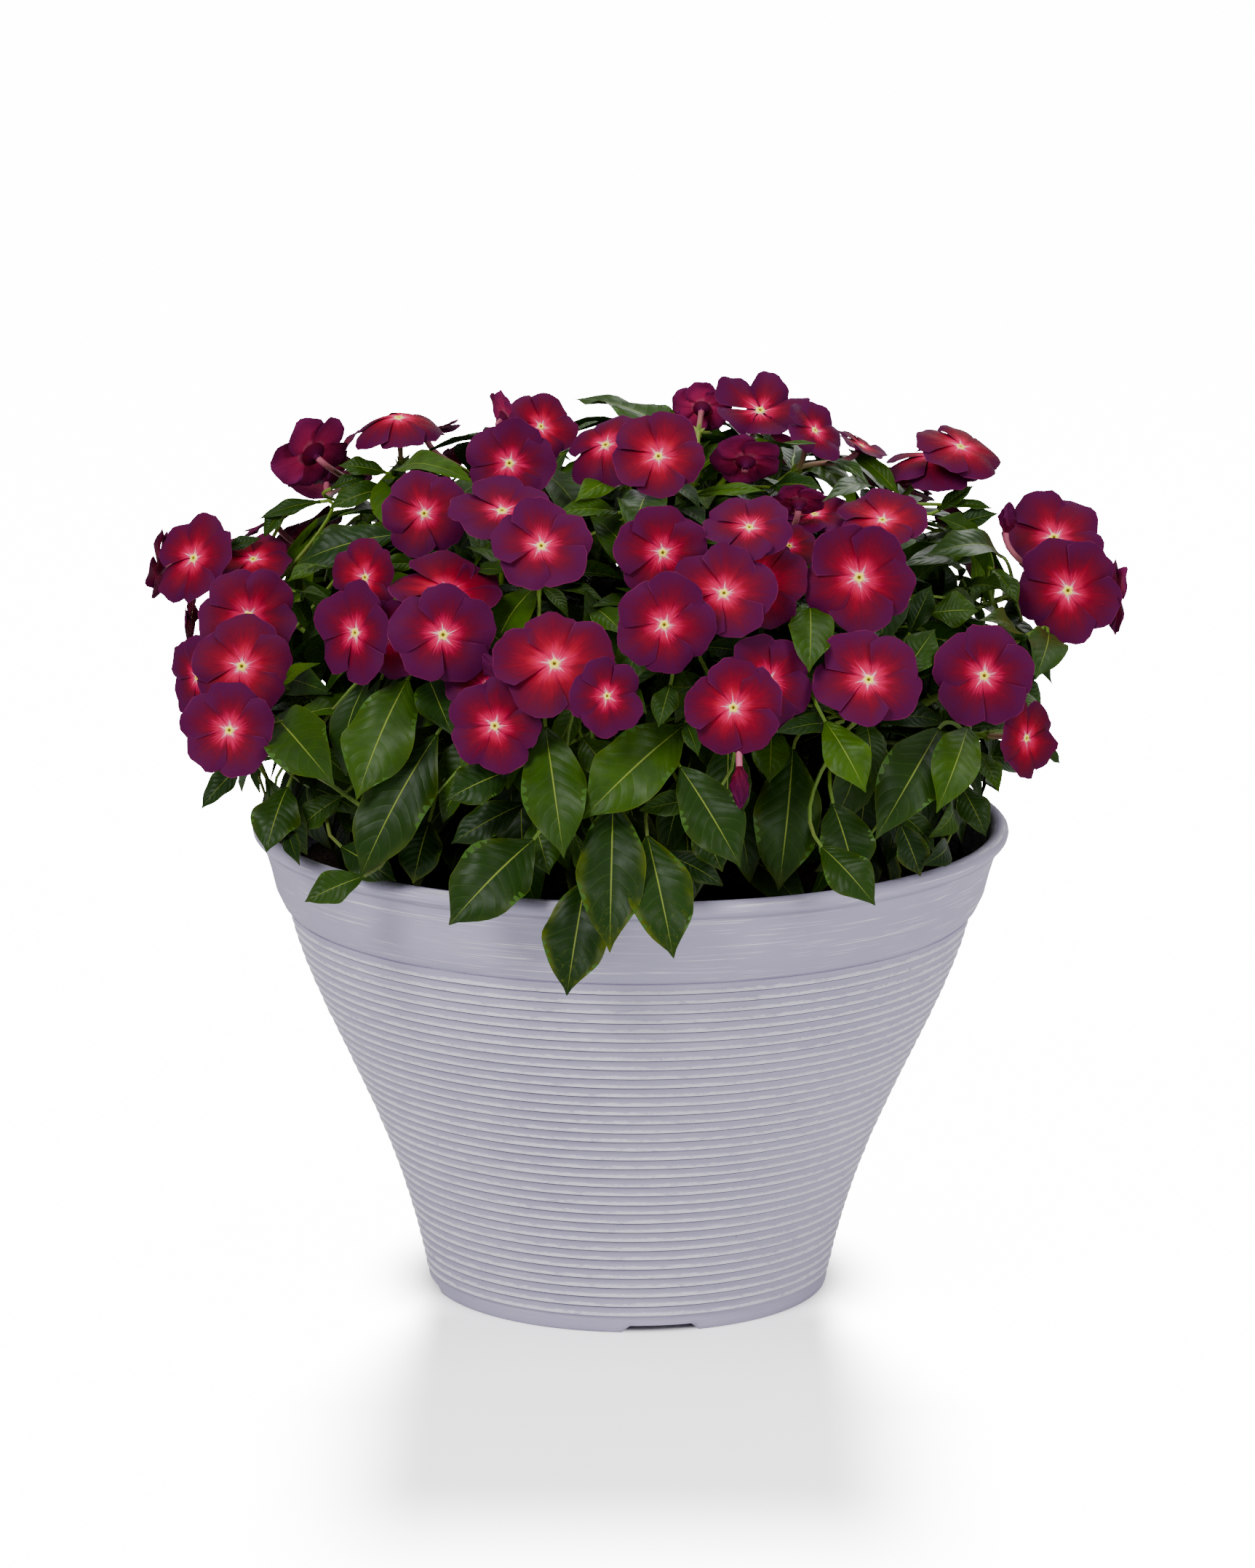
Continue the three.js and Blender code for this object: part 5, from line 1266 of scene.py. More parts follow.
def petal_material():
    """Velvety petals: a white and pink star at the eye, hot red, crimson and dark plum to the margin, and a
    painted highlight in places along the margin.
    """
    made = Material("petal_velvet", Specular_IOR_Level=0.09)
    place = made.parts("place")
    reach, side = place[0], place[1] * 2.0 - 1.0
    tone = made.parts("tone")
    away = abs(side)
    streak_place = made.join(reach * 1.3, side * 16.0, tone[1])
    streaks = made.noise(made.scaled(streak_place, (1.0, 1.0, 37.0)), 1.0, 4.0, 0.65)
    blotch_place = made.join(reach * 2.0, side * 2.2, tone[1])
    blotches = made.noise(made.scaled(blotch_place, (1.0, 1.0, 53.0)), 1.3, 2.0)
    shade = away ** 2.0 * 0.12 + reach + streaks * 0.42 + blotches * 0.34 + tone[0] * 0.24 - 0.48
    body = made.ramp(shade, [
        (0.0, srgb(200, 0, 62)),
        (0.2, srgb(168, 0, 38)),
        (0.36, srgb(132, 0, 31)),
        (0.54, srgb(104, 0, 30)),
        (0.72, srgb(84, 0, 36)),
        (0.88, srgb(75, 0, 47)),
        (1.0, srgb(71, 0, 54)),
    ])
    beside = abs(side - 0.36)
    ray = made.math("SUBTRACT", 1.0, beside, clamp=True) ** 7.0
    ray_reach = ray * 0.11 + streaks * 0.62 - 0.24
    star = made.smooth(ray_reach - reach, -0.08, 0.1)
    glow_reach = streaks * 0.7 - 0.055
    glow = made.smooth(glow_reach - reach, -0.14, 0.18, 0.0, 0.95)
    colour = made.mix(glow, body, srgb(206, 0, 82))
    colour = made.mix(star, colour, srgb(255, 214, 232))
    # Painted highlight: a thin paler line in places along the petals' margins, where their edges catch the
    # light
    margin = made.math("MAXIMUM", made.smooth(reach, 0.974, 1.0), made.smooth(away, 0.975, 1.0))
    painted_edge_highlight = margin * made.smooth(blotches, 0.36, 0.66, 0.0, 0.26)
    colour = made.mix(painted_edge_highlight, colour, srgb(160, 54, 104))
    fine_place = made.join(reach * 1.2, side * 34.0, tone[1])
    veins = made.noise(fine_place, 1.0, 1.0)
    back = made.ramp(reach, [(0.0, srgb(226, 130, 160)), (0.4, srgb(170, 30, 80)), (1.0, srgb(96, 14, 74))])
    back = made.mix(made.smooth(veins, 0.45, 0.75, 0.0, 0.35), back, srgb(140, 44, 100))
    colour = made.mix(made.attribute("under"), colour, back)
    grain = made.noise(made.coordinates(), 2600.0, 2.0)
    height = veins * 0.8 + grain * 0.25
    roughness = grain * 0.16 + 0.58
    return made.finish(Base_Color=colour, Roughness=roughness, Normal=made.bump(height, 0.28, 0.5))


def vein_field(made, share, side, tone):
    """Height of the leaf's surface between its veins, and how much of a point lies on a vein."""
    away = abs(side)
    wobble = made.noise(made.join(share, side, tone), 3.0, 1.0)
    along = share - away ** 1.35 * 0.2 + wobble * 0.03 - 0.015
    hand = made.math("SIGN", side) * 0.16
    wave = made.math("PINGPONG", along * 9.5 + hand, 0.5) * 2.0
    inside = made.smooth(away, 0.97, 0.75)
    vein = made.smooth(wave, 0.1, 0.0) * inside
    return wave ** 0.6 * inside, vein


def leaf_material():
    """Glossy leaves with a pale midrib and arched veins; old ones yellow along the margin."""
    made = Material("leaf_gloss", Specular_IOR_Level=0.14)
    place = made.parts("place")
    share, side = place[0], place[1] * 2.0 - 1.0
    tone = made.parts("tone")
    away = abs(side)
    puff, vein = vein_field(made, share, side, tone[0])
    bright = tone[0] ** 1.6
    fresh = made.mix(bright, srgb(18, 44, 2), srgb(54, 84, 2))
    old = made.mix(tone[0], srgb(10, 32, 2), srgb(26, 52, 2))
    body = made.mix(made.smooth(tone[1], 0.0, 0.75), fresh, old)
    mottle = made.noise(made.coordinates(), 90.0, 3.0)
    body = made.mix(made.smooth(mottle, 0.35, 0.75, 0.0, 0.4), body, srgb(12, 36, 2))
    body = made.mix(vein * 0.22, body, srgb(64, 96, 26))
    edge = made.math("MAXIMUM", made.smooth(away, 0.62, 1.0), made.smooth(share, 0.82, 1.0))
    blotch = made.noise(made.coordinates(), 60.0, 3.0)
    edge = edge * made.smooth(blotch, 0.3, 0.65) * made.smooth(tone[1], 0.45, 0.95, 0.1, 0.85)
    body = made.mix(edge, body, srgb(88, 98, 4))
    freckles = made.noise(made.coordinates(), 420.0, 3.0, 0.7)
    yellowed = made.smooth(share, 0.4, 0.95) * made.smooth(freckles, 0.56, 0.66)
    yellowed = yellowed * made.smooth(tone[1], 0.55, 1.0, 0.0, 0.55)
    body = made.mix(yellowed, body, srgb(110, 112, 10))
    rim = made.smooth(away, 0.965, 1.0, 0.0, 0.24)
    body = made.mix(rim, body, srgb(106, 122, 30))
    rib_width = share * -0.022 + 0.03
    rib = made.smooth(rib_width - away, -0.014, 0.01)
    body = made.mix(rib * 0.65, body, srgb(136, 152, 56))
    back = made.mix(rib, srgb(52, 84, 22), srgb(126, 146, 66))
    back = made.mix(vein * 0.4, back, srgb(88, 116, 44))
    colour = made.mix(made.attribute("under"), body, back)
    pores = made.noise(made.coordinates(), 1500.0, 2.0)
    height = puff + pores * 0.12 - rib * 0.6
    roughness = mottle * 0.22 + 0.33
    return made.finish(Base_Color=colour, Roughness=roughness, Normal=made.bump(height, 0.4, 0.5))


def stalk_material():
    """Green shoots that darken to brown near the soil, with fine lengthwise lines."""
    made = Material("shoot_green", Specular_IOR_Level=0.4)
    spot = made.coordinates()
    height = made.split(spot)[2]
    place = made.parts("place")
    lines = made.noise(made.join(place[0], place[1] * 22.0, 0.5), 2.0, 2.0)
    colour = made.mix(made.smooth(height, 0.2, 0.27), srgb(70, 58, 26), srgb(88, 118, 26))
    colour = made.mix(made.smooth(height, 0.27, 0.4), colour, srgb(110, 142, 36))
    blush = made.noise(spot, 45.0, 2.0)
    colour = made.mix(made.smooth(blush, 0.5, 0.75, 0.0, 0.4), colour, srgb(120, 92, 52))
    colour = made.mix(lines * 0.25, colour, srgb(70, 96, 36))
    roughness = blush * 0.2 + 0.38
    return made.finish(Base_Color=colour, Roughness=roughness, Normal=made.bump(lines, 0.25, 0.6))


def tube_material():
    """The slender tube behind a bloom: greenish at the stalk, pale pink to the throat."""
    made = Material("petal_tube", Specular_IOR_Level=0.35, Roughness=0.5)
    place = made.parts("place")
    lines = made.noise(made.join(place[0], place[1] * 16.0, 0.2), 2.0, 2.0)
    colour = made.ramp(place[0], [
        (0.0, srgb(176, 84, 112)),
        (0.45, srgb(140, 92, 84)),
        (1.0, srgb(110, 130, 50)),
    ])
    colour = made.mix(lines * 0.4, colour, srgb(170, 80, 110))
    return made.finish(Base_Color=colour, Normal=made.bump(lines, 0.2, 0.5))


def eye_material():
    """The yellow ring of the eye, whiter outside."""
    made = Material("eye_yellow", Specular_IOR_Level=0.3, Roughness=0.55)
    place = made.parts("place")
    fuzz = made.noise(made.coordinates(), 1800.0, 2.0)
    colour = made.ramp(place[0], [
        (0.22, srgb(130, 128, 10)),
        (0.36, srgb(244, 208, 36)),
        (0.86, srgb(255, 238, 110)),
        (1.0, srgb(255, 240, 200)),
    ])
    return made.finish(Base_Color=colour, Normal=made.bump(fuzz, 0.3, 0.6))


# The plug in the tube's mouth: dark olive, as painted shade for the hollow down the tube
def dot_material():
    made = Material("eye_mouth", Specular_IOR_Level=0.3)
    fuzz = made.noise(made.coordinates(), 2500.0, 2.0)
    colour = made.mix(fuzz, srgb(56, 50, 12), srgb(120, 112, 34))
    return made.finish(Base_Color=colour, Roughness=fuzz * 0.3 + 0.55)


def pot_material():
    """Moulded lavender grey: rib crests paler from rubbing and from a painted highlight, painted shade in the
    fine grooves and under the lip, with fine level scratches and a few dark specks.
    """
    made = Material("planter_lavender", Specular_IOR_Level=0.42)
    spot = made.coordinates()
    crest = made.attribute("crest")
    collar = made.attribute("collar")
    cloud = made.noise(spot, 9.0, 3.0)
    colour = made.mix(made.smooth(cloud, 0.3, 0.7), srgb(163, 157, 184), srgb(173, 167, 193))
    brushed = made.noise(made.scaled(spot, (14.0, 14.0, 1500.0)), 1.0, 3.0, 0.7)
    gaps = made.smooth(made.noise(made.scaled(spot, (26.0, 26.0, 160.0)), 1.0, 2.0), 0.42, 0.54)
    scratch = made.smooth(brushed, 0.55, 0.62) * gaps * (collar * 0.6 + 0.25)
    colour = made.mix(scratch, colour, srgb(220, 217, 228))
    # Pale crests: partly rubbed by use, partly a painted highlight where the crests catch the light from
    # above
    crest_rub_and_highlight = made.noise(made.scaled(spot, (100.0, 100.0, 380.0)), 1.0, 5.0, 0.85)
    crest_rub_and_highlight = crest * 0.45 + crest_rub_and_highlight * 1.5 - 0.75
    wear_and_highlight = made.smooth(crest_rub_and_highlight, 0.14, 0.42) * made.smooth(crest, 0.0, 0.3)
    colour = made.mix(wear_and_highlight, colour, srgb(216, 213, 226))
    # Painted shade: the fine groove under each crest is darkened in colour
    colour = made.mix(made.attribute("groove") * 0.85, colour, srgb(100, 94, 120))
    level = made.split(spot)[2]
    # Painted shade: a darker line under the lip, where its overhang shades the collar
    painted_shade_under_lip = made.smooth(level, 0.2158, 0.217) * made.smooth(level, 0.2186, 0.2172) * collar * 0.5
    colour = made.mix(painted_shade_under_lip, colour, srgb(112, 106, 132))
    specks = made.node("ShaderNodeTexVoronoi", {"Vector": spot, "Scale": 160.0, "Randomness": 1.0})
    size = made.noise(spot, 70.0, 1.0)
    fleck = made.math("LESS_THAN", specks.outputs["Distance"], made.smooth(size, 0.6, 0.8, 0.0, 0.09))
    colour = made.mix(fleck * 0.6, colour, srgb(70, 66, 74))
    grain = made.noise(spot, 700.0, 3.0, 0.7)
    height = grain * 0.35 + brushed * 0.6
    roughness = grain * 0.18 + 0.42
    return made.finish(Base_Color=colour, Roughness=roughness, Normal=made.bump(height, 0.25, 0.7))


def soil_material():
    made = Material("soil_dark", Specular_IOR_Level=0.2)
    spot = made.coordinates()
    lumps = made.noise(spot, 260.0, 5.0, 0.7)
    fibre = made.noise(made.scaled(spot, (300.0, 900.0, 500.0)), 1.0, 3.0)
    colour = made.mix(lumps, srgb(16, 11, 8), srgb(52, 38, 28))
    colour = made.mix(made.smooth(fibre, 0.66, 0.74, 0.0, 0.5), colour, srgb(110, 86, 60))
    roughness = lumps * 0.2 + 0.75
    return made.finish(Base_Color=colour, Roughness=roughness, Normal=made.bump(lumps, 1.5, 0.9))


# Growing and repeating with Geometry Nodes


class Growth(Tree):
    """A Geometry Nodes tree with named inputs, which is run once and leaves a plain mesh."""

    def __init__(self, name, **inputs):
        self.group = bpy.data.node_groups.new(name, "GeometryNodeTree")
        super().__init__(self.group)
        self.group.interface.new_socket("Geometry", in_out="INPUT", socket_type="NodeSocketGeometry")
        self.values = {}
        for label, value in inputs.items():
            kind = "NodeSocketInt" if isinstance(value, int) else "NodeSocketFloat"
            self.add_input(label.replace("_", " "), kind, value)
        self.group.interface.new_socket("Geometry", in_out="OUTPUT", socket_type="NodeSocketGeometry")
        self.entry = self.tree.nodes.new("NodeGroupInput").outputs
        self.exit = self.tree.nodes.new("NodeGroupOutput").inputs

    def add_input(self, name, kind, value):
        socket = self.group.interface.new_socket(name, in_out="INPUT", socket_type=kind)
        self.values[socket.identifier] = value

    def given(self, name):
        return Value(self, self.entry[name])

    def stored(self, name, kind="FLOAT"):
        made = self.node("GeometryNodeInputNamedAttribute", {"Name": name}, data_type=kind)
        return Value(self, made.outputs[0])

    def store(self, geometry, name, value):
        inputs = {"Geometry": geometry, "Name": name, "Value": value}
        made = self.node("GeometryNodeStoreNamedAttribute", inputs, data_type="FLOAT", domain="POINT")
        return made.outputs[0]

    def random_vector(self, low, high, seed):
        made = self.node("FunctionNodeRandomValue", {0: low, 1: high, "Seed": seed}, data_type="FLOAT_VECTOR")
        return made.outputs[0]

    def place_copies(self, points, shape, turn, size, material):
        """Real copies of a shape at all the points, in one material."""
        rotation = self.node("FunctionNodeEulerToRotation", {0: turn}).outputs[0]
        inputs = {"Points": points, "Instance": shape, "Rotation": rotation, "Scale": size}
        copies = self.node("GeometryNodeInstanceOnPoints", inputs).outputs[0]
        copies = self.node("GeometryNodeRealizeInstances", {"Geometry": copies}).outputs[0]
        return self.node("GeometryNodeSetMaterial", {"Geometry": copies, "Material": material}).outputs[0]

    def run(self, piece, geometry):
        self.set(self.exit[0], geometry)
        modifier = piece.modifiers.new("growth", "NODES")
        modifier.node_group = self.group
        for identifier, value in self.values.items():
            modifier[identifier] = value
        depsgraph = bpy.context.evaluated_depsgraph_get()
        mesh = bpy.data.meshes.new_from_object(piece.evaluated_get(depsgraph))
        piece.modifiers.remove(modifier)
        piece.data = mesh
        return piece


# Pot


def wall_radius(height):
    return float(np.polyval(np.polyfit(WALL_HEIGHTS, WALL_RADII, 4), height))


def inner_radius(height):
    return float(np.interp(height, INNER_HEIGHTS, INNER_RADII))


def lathe(name, rows, segments, phase, material, attributes=()):
    """Turns rows of (radius, height) about the pot's axis; the first and last row are closed to a point."""
    angles = phase + np.arange(segments) / segments * 2 * math.pi
    points = [(0.0, 0.0, rows[0][1])]
    for radius, height in rows[1:-1]:
        points.extend((math.cos(angle) * radius, math.sin(angle) * radius, height) for angle in angles)
    points.append((0.0, 0.0, rows[-1][1]))
    body = grid_faces(len(rows) - 2, segments, closed=True)
    faces = [tuple(corner + 1 for corner in face) for face in body]
    last = len(points) - 1
    for at in range(segments):
        after = (at + 1) % segments
        faces.append((0, after + 1, at + 1))
        faces.append((last, last - segments + at, last - segments + after))
    mesh = bpy.data.meshes.new(name)
    mesh.from_pydata([tuple(c * MM for c in point) for point in points], [], faces)
    mesh.materials.append(material)
    for label, values in attributes:
        rings = [value for value in values[1:-1] for _ in range(segments)]
        carry(mesh, label, [values[0]] + rings + [values[-1]])
    mesh.polygons.foreach_set("use_smooth", [True] * len(faces))
    return add_object(name, mesh)


def cut_notches(piece):
    """Raises the foot's rim at its shallow notches."""
    for vertex in piece.data.vertices:
        x, y, z = (c / MM for c in vertex.co)
        if z >= NOTCH_HEIGHT or math.hypot(x, y) < FOOT_INNER_RADIUS - 1:
            continue
        around = math.degrees(math.atan2(x, -y)) - NOTCH_ANGLE
        off = abs((around + NOTCH_EVERY / 2) % NOTCH_EVERY - NOTCH_EVERY / 2)
        share = (NOTCH_HALF_BELOW - off) / (NOTCH_HALF_BELOW - NOTCH_HALF_ABOVE)
        share = min(max(share, 0.0), 1.0)
        vertex.co.z = max(z, (NOTCH_HEIGHT - 0.2 + 0.05 * z) * share) * MM


def rib_growth():
    """Carves the ribs of the planter's wall: each a ledge that juts at its crest, over a fine groove."""
    sizes = {"From": RIBS_FROM * MM, "To": RIBS_TO * MM, "Depth": RIB_DEPTH * MM}
    made = Growth("planter_ribs", Rib_Count=RIB_COUNT, **sizes)
    position = made.node("GeometryNodeInputPosition").outputs[0]
    climbed = (made.split(position)[2] - made.given("From")) / (made.given("To") - made.given("From"))
    phase = made.math("FRACT", climbed * made.given("Rib Count") + 1e-4)
    curve = made.node("ShaderNodeFloatCurve", {"Value": phase})
    points = curve.mapping.curves[0].points
    while len(points) < len(RIB_PROFILE):
        points.new(1.0, 0.0)
    for point, (at, jut) in zip(points, RIB_PROFILE):
        point.location = (at, (jut + CURVE_SHIFT) / CURVE_SPAN)
        point.handle_type = "VECTOR"
    curve.mapping.update()
    jut = Value(made, curve.outputs[0]) * CURVE_SPAN - CURVE_SHIFT
    stretched = made.vector_math("MULTIPLY", position, RIB_WANDER)
    jut = jut * (made.noise(stretched, 1.0, 2.0, 0.5) * 0.7 + 0.65)
    wall = made.stored("wall")
    inward = (jut - RIB_INSET) * made.given("Depth") * wall
    outward = made.vector_math("NORMALIZE", made.vector_math("MULTIPLY", position, (1.0, 1.0, 0.0)))
    offset = made.vector_math("SCALE", outward, Scale=inward)
    moved = made.node("GeometryNodeSetPosition", {"Geometry": made.given("Geometry"), "Offset": offset})
    # The crest mask carries the pale crests, partly rubbing and partly a painted highlight
    crest_rub_and_highlight = made.store(moved.outputs[0], "crest", made.smooth(jut, 0.0, 0.8) * wall)
    # The groove mask carries painted shade into the fine groove under each crest
    return made, made.store(crest_rub_and_highlight, "groove", made.smooth(jut, 0.0, -0.3) * wall)


def make_pot():
    """The planter: foot ring, ribbed wall, plain collar, rounded lip and the plain inside."""
    pitch = (RIBS_TO - RIBS_FROM) / RIB_COUNT
    rows = [(0, FLOOR_UNDERSIDE), (60, FLOOR_UNDERSIDE), (FOOT_INNER_RADIUS, FLOOR_UNDERSIDE)]
    rows += FOOT_OUTLINE
    rows += [(wall_radius(6.0) - 0.8, 6.0), (wall_radius(8.2) - 0.9, 8.2)]
    first_rib = len(rows)
    for rib in range(RIB_COUNT):
        heights = [RIBS_FROM + (rib + share) * pitch for share in RIB_ROWS]
        rows += [(wall_radius(height), height) for height in heights]
    last_rib = len(rows)
    rows += COLLAR_OUTLINE
    first_lip = len(rows)
    rows += LIP_OUTLINE
    rows += [(inner_radius(height), height) for height in reversed(INNER_STATIONS + [206])]
    rows += [(45, FLOOR_TOP), (0, FLOOR_TOP)]
    wall = [1.0 if first_rib <= at < last_rib - ROWS_OVER_GROOVE else 0.0 for at in range(len(rows))]
    collar = [1.0 if last_rib <= at < first_lip + len(LIP_OUTLINE) else 0.0 for at in range(len(rows))]
    step = 2 * math.pi / POT_SEGMENTS
    phase = math.radians(NOTCH_ANGLE) - math.pi / 2 + step / 2
    attributes = (("wall", wall), ("collar", collar))
    pot = lathe("planter", rows, POT_SEGMENTS, phase, pot_material(), attributes)
    cut_notches(pot)
    made, geometry = rib_growth()
    pot = made.run(pot, geometry)
    pot.data.set_sharp_from_angle(angle=math.radians(62))
    return pot


# Soil

SOIL_SEGMENTS = 96
SOIL_RINGS = 26
SOIL_LUMP = 42
SOIL_LUMP_HEIGHT = 3.4
SOIL_RIPPLE = 11
SOIL_RIPPLE_HEIGHT = 1.5
CRUMB_DENSITY = 52000.0
CRUMB_SIZE = 1.5
CRUMB_SMALLEST = (0.25, 0.25, 0.2)
CRUMB_LARGEST = (1.25, 1.0, 0.75)


def soil_lump(x, y):
    """Height of the soil's surface over its level."""
    spot = Vector((x / SOIL_LUMP, y / SOIL_LUMP, 0.3))
    fine = Vector((x / SOIL_RIPPLE, y / SOIL_RIPPLE, 7.7))
    return SOIL_LUMP_HEIGHT * noise.noise(spot) + SOIL_RIPPLE_HEIGHT * noise.noise(fine)


def make_soil():
    """A filled body of potting soil with an uneven top, and crumbs scattered over it."""
    low = FLOOR_TOP + FIT
    rows = [(0, low), (60, low)]
    heights = [low] + INNER_STATIONS[1:] + [SOIL_HEIGHT - 2]
    rows += [(inner_radius(height) - FIT, height) for height in heights]
    outer = inner_radius(SOIL_HEIGHT) - FIT
    rows += [(outer * (1 - ring / SOIL_RINGS), SOIL_HEIGHT) for ring in range(SOIL_RINGS)]
    rows.append((0, SOIL_HEIGHT))
    top = [1.0 if height == SOIL_HEIGHT else 0.0 for _, height in rows]
    material = soil_material()
    soil = lathe("potting_soil", rows, SOIL_SEGMENTS, 0.0, material, (("top", top),))
    for vertex in soil.data.vertices:
        if vertex.co.z > (SOIL_HEIGHT - 1) * MM:
            vertex.co.z += soil_lump(vertex.co.x / MM, vertex.co.y / MM) * MM
    made = Growth("soil_crumbs", Density=CRUMB_DENSITY, Size=CRUMB_SIZE * MM, Seed=7)
    ground, seed = made.given("Geometry"), made.given("Seed")
    inputs = {"Mesh": ground, "Selection": made.stored("top"), "Density": made.given("Density"), "Seed": seed}
    points = made.node("GeometryNodeDistributePointsOnFaces", inputs).outputs[0]
    ball = {"Radius": made.given("Size"), "Subdivisions": 1}
    crumb = made.node("GeometryNodeMeshIcoSphere", ball).outputs[0]
    size = made.random_vector(CRUMB_SMALLEST, CRUMB_LARGEST, 3)
    turn = made.random_vector((0.0, 0.0, 0.0), (6.28, 6.28, 6.28), 5)
    joined = made.node("GeometryNodeJoinGeometry")
    made.set(joined.inputs[0], ground)
    made.set(joined.inputs[0], made.place_copies(points, crumb, turn, size, material))
    return made.run(soil, joined.outputs[0])


# Foliage that fills the crown

FILL_STEP = 12.0
FILL_FIRST = 10.0
FILL_LENGTH = (54.0, 26.0)
FILL_LENGTH_SPREAD = 9.0
FILL_WIDTH_SHARE = 0.42
FILL_INDEX = 5000
FILL_SAMPLES = [(0.2, 0.0), (0.45, -0.9), (0.45, 0.0), (0.45, 0.9), (0.75, -0.7), (0.75, 0.7), (1.0, 0.0)]
FRONT_SHELL = 0.9
BACK_SHELL = 1.0
CLOAK_LAYERS = [(0.66, 190), (0.8, 330), (0.93, 480)]
CLOAK_LOWEST = -0.1
CLOAK_LENGTH = 50.0
CLOAK_REACH = 85.0
CLOAK_SPACING = 13.0
CLOAK_INDEX = 20000
CLOAK_WANDER = 0.05
CLOAK_LENGTH_SPREAD = 9.0
CLOAK_NEAREST = 8
CLOAK_TRIES = 5
CLOAK_SHRINKS = 0.12
CLOAK_OUTWARD = 0.2
CLOAK_SINK = 0.25
CLOAK_FACES_UP = 0.55
CLOAK_TWIG = 4.0
KNOT_TRIES = 4
KNOT_SHRINKS = 0.14
KNOT_OUTWARD = 0.35
KNOT_SINK = 0.1
KNOT_SINK_SPREAD = 0.25
KNOT_FACES_OUTWARD = 0.5
KNOT_STALK = 3
UNIT_HALF_WIDTH = 0.03
UNIT_TIP_DROP = 0.12
UNIT_FOLD = 0.10
UNIT_STALK = 0.08
UNIT_THICKNESS = 0.014
SMALL_INDEX = 3000
TWIG_SIDES = 5
# Discs of the picture where open background shows: column, row and radius
SKY_GAPS = [
    (820, 770, 5), (770, 830, 5), (832, 855, 5), (515, 700, 5), (1305, 810, 5), (225, 1080, 35),
    (254, 1061, 13), (328, 1122, 20), (336, 1088, 13), (215, 880, 25), (250, 903, 13), (205, 960, 25),
    (210, 1020, 25), (242, 817, 7), (300, 640, 40), (377, 642, 6), (438, 716, 10), (499, 697, 8),
    (457, 589, 14), (627, 606, 12), (645, 602, 9), (808, 558, 14), (838, 548, 14), (868, 552, 10),
    (612, 600, 9), (603, 630, 8), (779, 546, 8), (831, 582, 6), (894, 569, 6), (247, 1000, 9),
    (314, 1093, 6), (343, 1104, 8), (1360, 1057, 8), (1431, 1054, 8), (1432, 1021, 8), (1433, 948, 9),
    (747, 549, 9), (911, 556, 19), (1322, 600, 7), (1413, 650, 35), (1442, 686, 11), (1394, 747, 7),
    (1299, 732, 6), (1464, 960, 25), (1482, 995, 30), (1515, 1042, 40), (1444, 1083, 30), (1403, 1087, 20),
    (1383, 1101, 16), (1366, 1054, 10), (1354, 1021, 8),
]
BLOOM_CLEAR = 3.5
BLOOM_VIEW = 26.0
SOIL_CLEAR = 4
RIM_HEIGHT = 229.0
RIM_INSIDE = 160.0


def to_picture(point):
    """Column, row and depth of a point in the photograph."""
    offset = point - STANDPOINT
    ahead = offset[1] * math.cos(LOOK_DOWN) - offset[2] * math.sin(LOOK_DOWN)
    rise = offset[1] * math.sin(LOOK_DOWN) + offset[2] * math.cos(LOOK_DOWN)
    across = (offset[0] * math.cos(LOOK_ROLL) + rise * math.sin(LOOK_ROLL)) / ahead
    down = (offset[0] * math.sin(LOOK_ROLL) - rise * math.cos(LOOK_ROLL)) / ahead
    return CENTRE_COLUMN + across * FOCAL_PIXELS, CENTRE_ROW + down * FOCAL_PIXELS, ahead


def seen_marks(plant, small):
    """Discs of the picture that the readings fill: column, row, depth and radius in pixels."""
    marks = []
    for bloom in plant["blooms"]:
        if "eye" in bloom:
            marks.append((*to_picture(bloom["centre"]), bloom["radius"] * PIXELS_PER_MM * 0.92))
    for leaf in plant["seen"] + small:
        for share in (0.2, 0.4, 0.6, 0.8):
            point = leaf["base"] + (leaf["tip"] - leaf["base"]) * share
            half = float(leaf_half_width(np.array(share))) * leaf["width"] * 0.5
            marks.append((*to_picture(point), half * PIXELS_PER_MM * 0.9))
    marks += [(column, row, math.inf, radius) for column, row, radius in SKY_GAPS]
    return np.array(marks)


def crowd_of(plant, small):
    """Centres, facings and radii of all blooms, and the marks, which a fill leaf has to leave free."""
    blooms = np.array([bloom["centre"] for bloom in plant["blooms"]])
    normals = np.array([facing(bloom["yaw"], bloom["pitch"]) for bloom in plant["blooms"]])
    radii = np.array([bloom["radius"] for bloom in plant["blooms"]])
    return blooms, normals, radii, seen_marks(plant, small)


def stands_free(leaf, plant):
    """Whether a leaf stays in the crown, off the pot and clear of the blooms and of the marks."""
    blooms, normals, radii, marks = plant["crowd"]
    for share, side in FILL_SAMPLES:
        across = np.cross(leaf["along"], leaf["face"])
        half = float(leaf_half_width(np.array(share))) * leaf["width"] * 0.5
        point = leaf["base"] + (leaf["tip"] - leaf["base"]) * share + across * side * half
        shell = FRONT_SHELL if point[1] < 0 else BACK_SHELL
        level = math.hypot(point[0], point[1])
        if on_shell(point) > shell or point[2] < SOIL_HEIGHT + SOIL_CLEAR:
            return False
        if point[2] < RIM_HEIGHT and level > RIM_INSIDE:
            return False
        offset = point - blooms
        ahead = (offset * normals).sum(axis=1)
        aside = np.linalg.norm(offset - normals * ahead[:, None], axis=1)
        if ((np.abs(ahead) < BLOOM_CLEAR) & (aside < radii + 2)).any():
            return False
        if ((ahead > 0) & (ahead < BLOOM_VIEW) & (aside < radii * 0.9)).any():
            return False
        column, row, depth = to_picture(point)
        near = np.hypot(marks[:, 0] - column, marks[:, 1] - row) < marks[:, 3]
        if (near & (depth < marks[:, 2] + 2)).any():
            return False
    return True


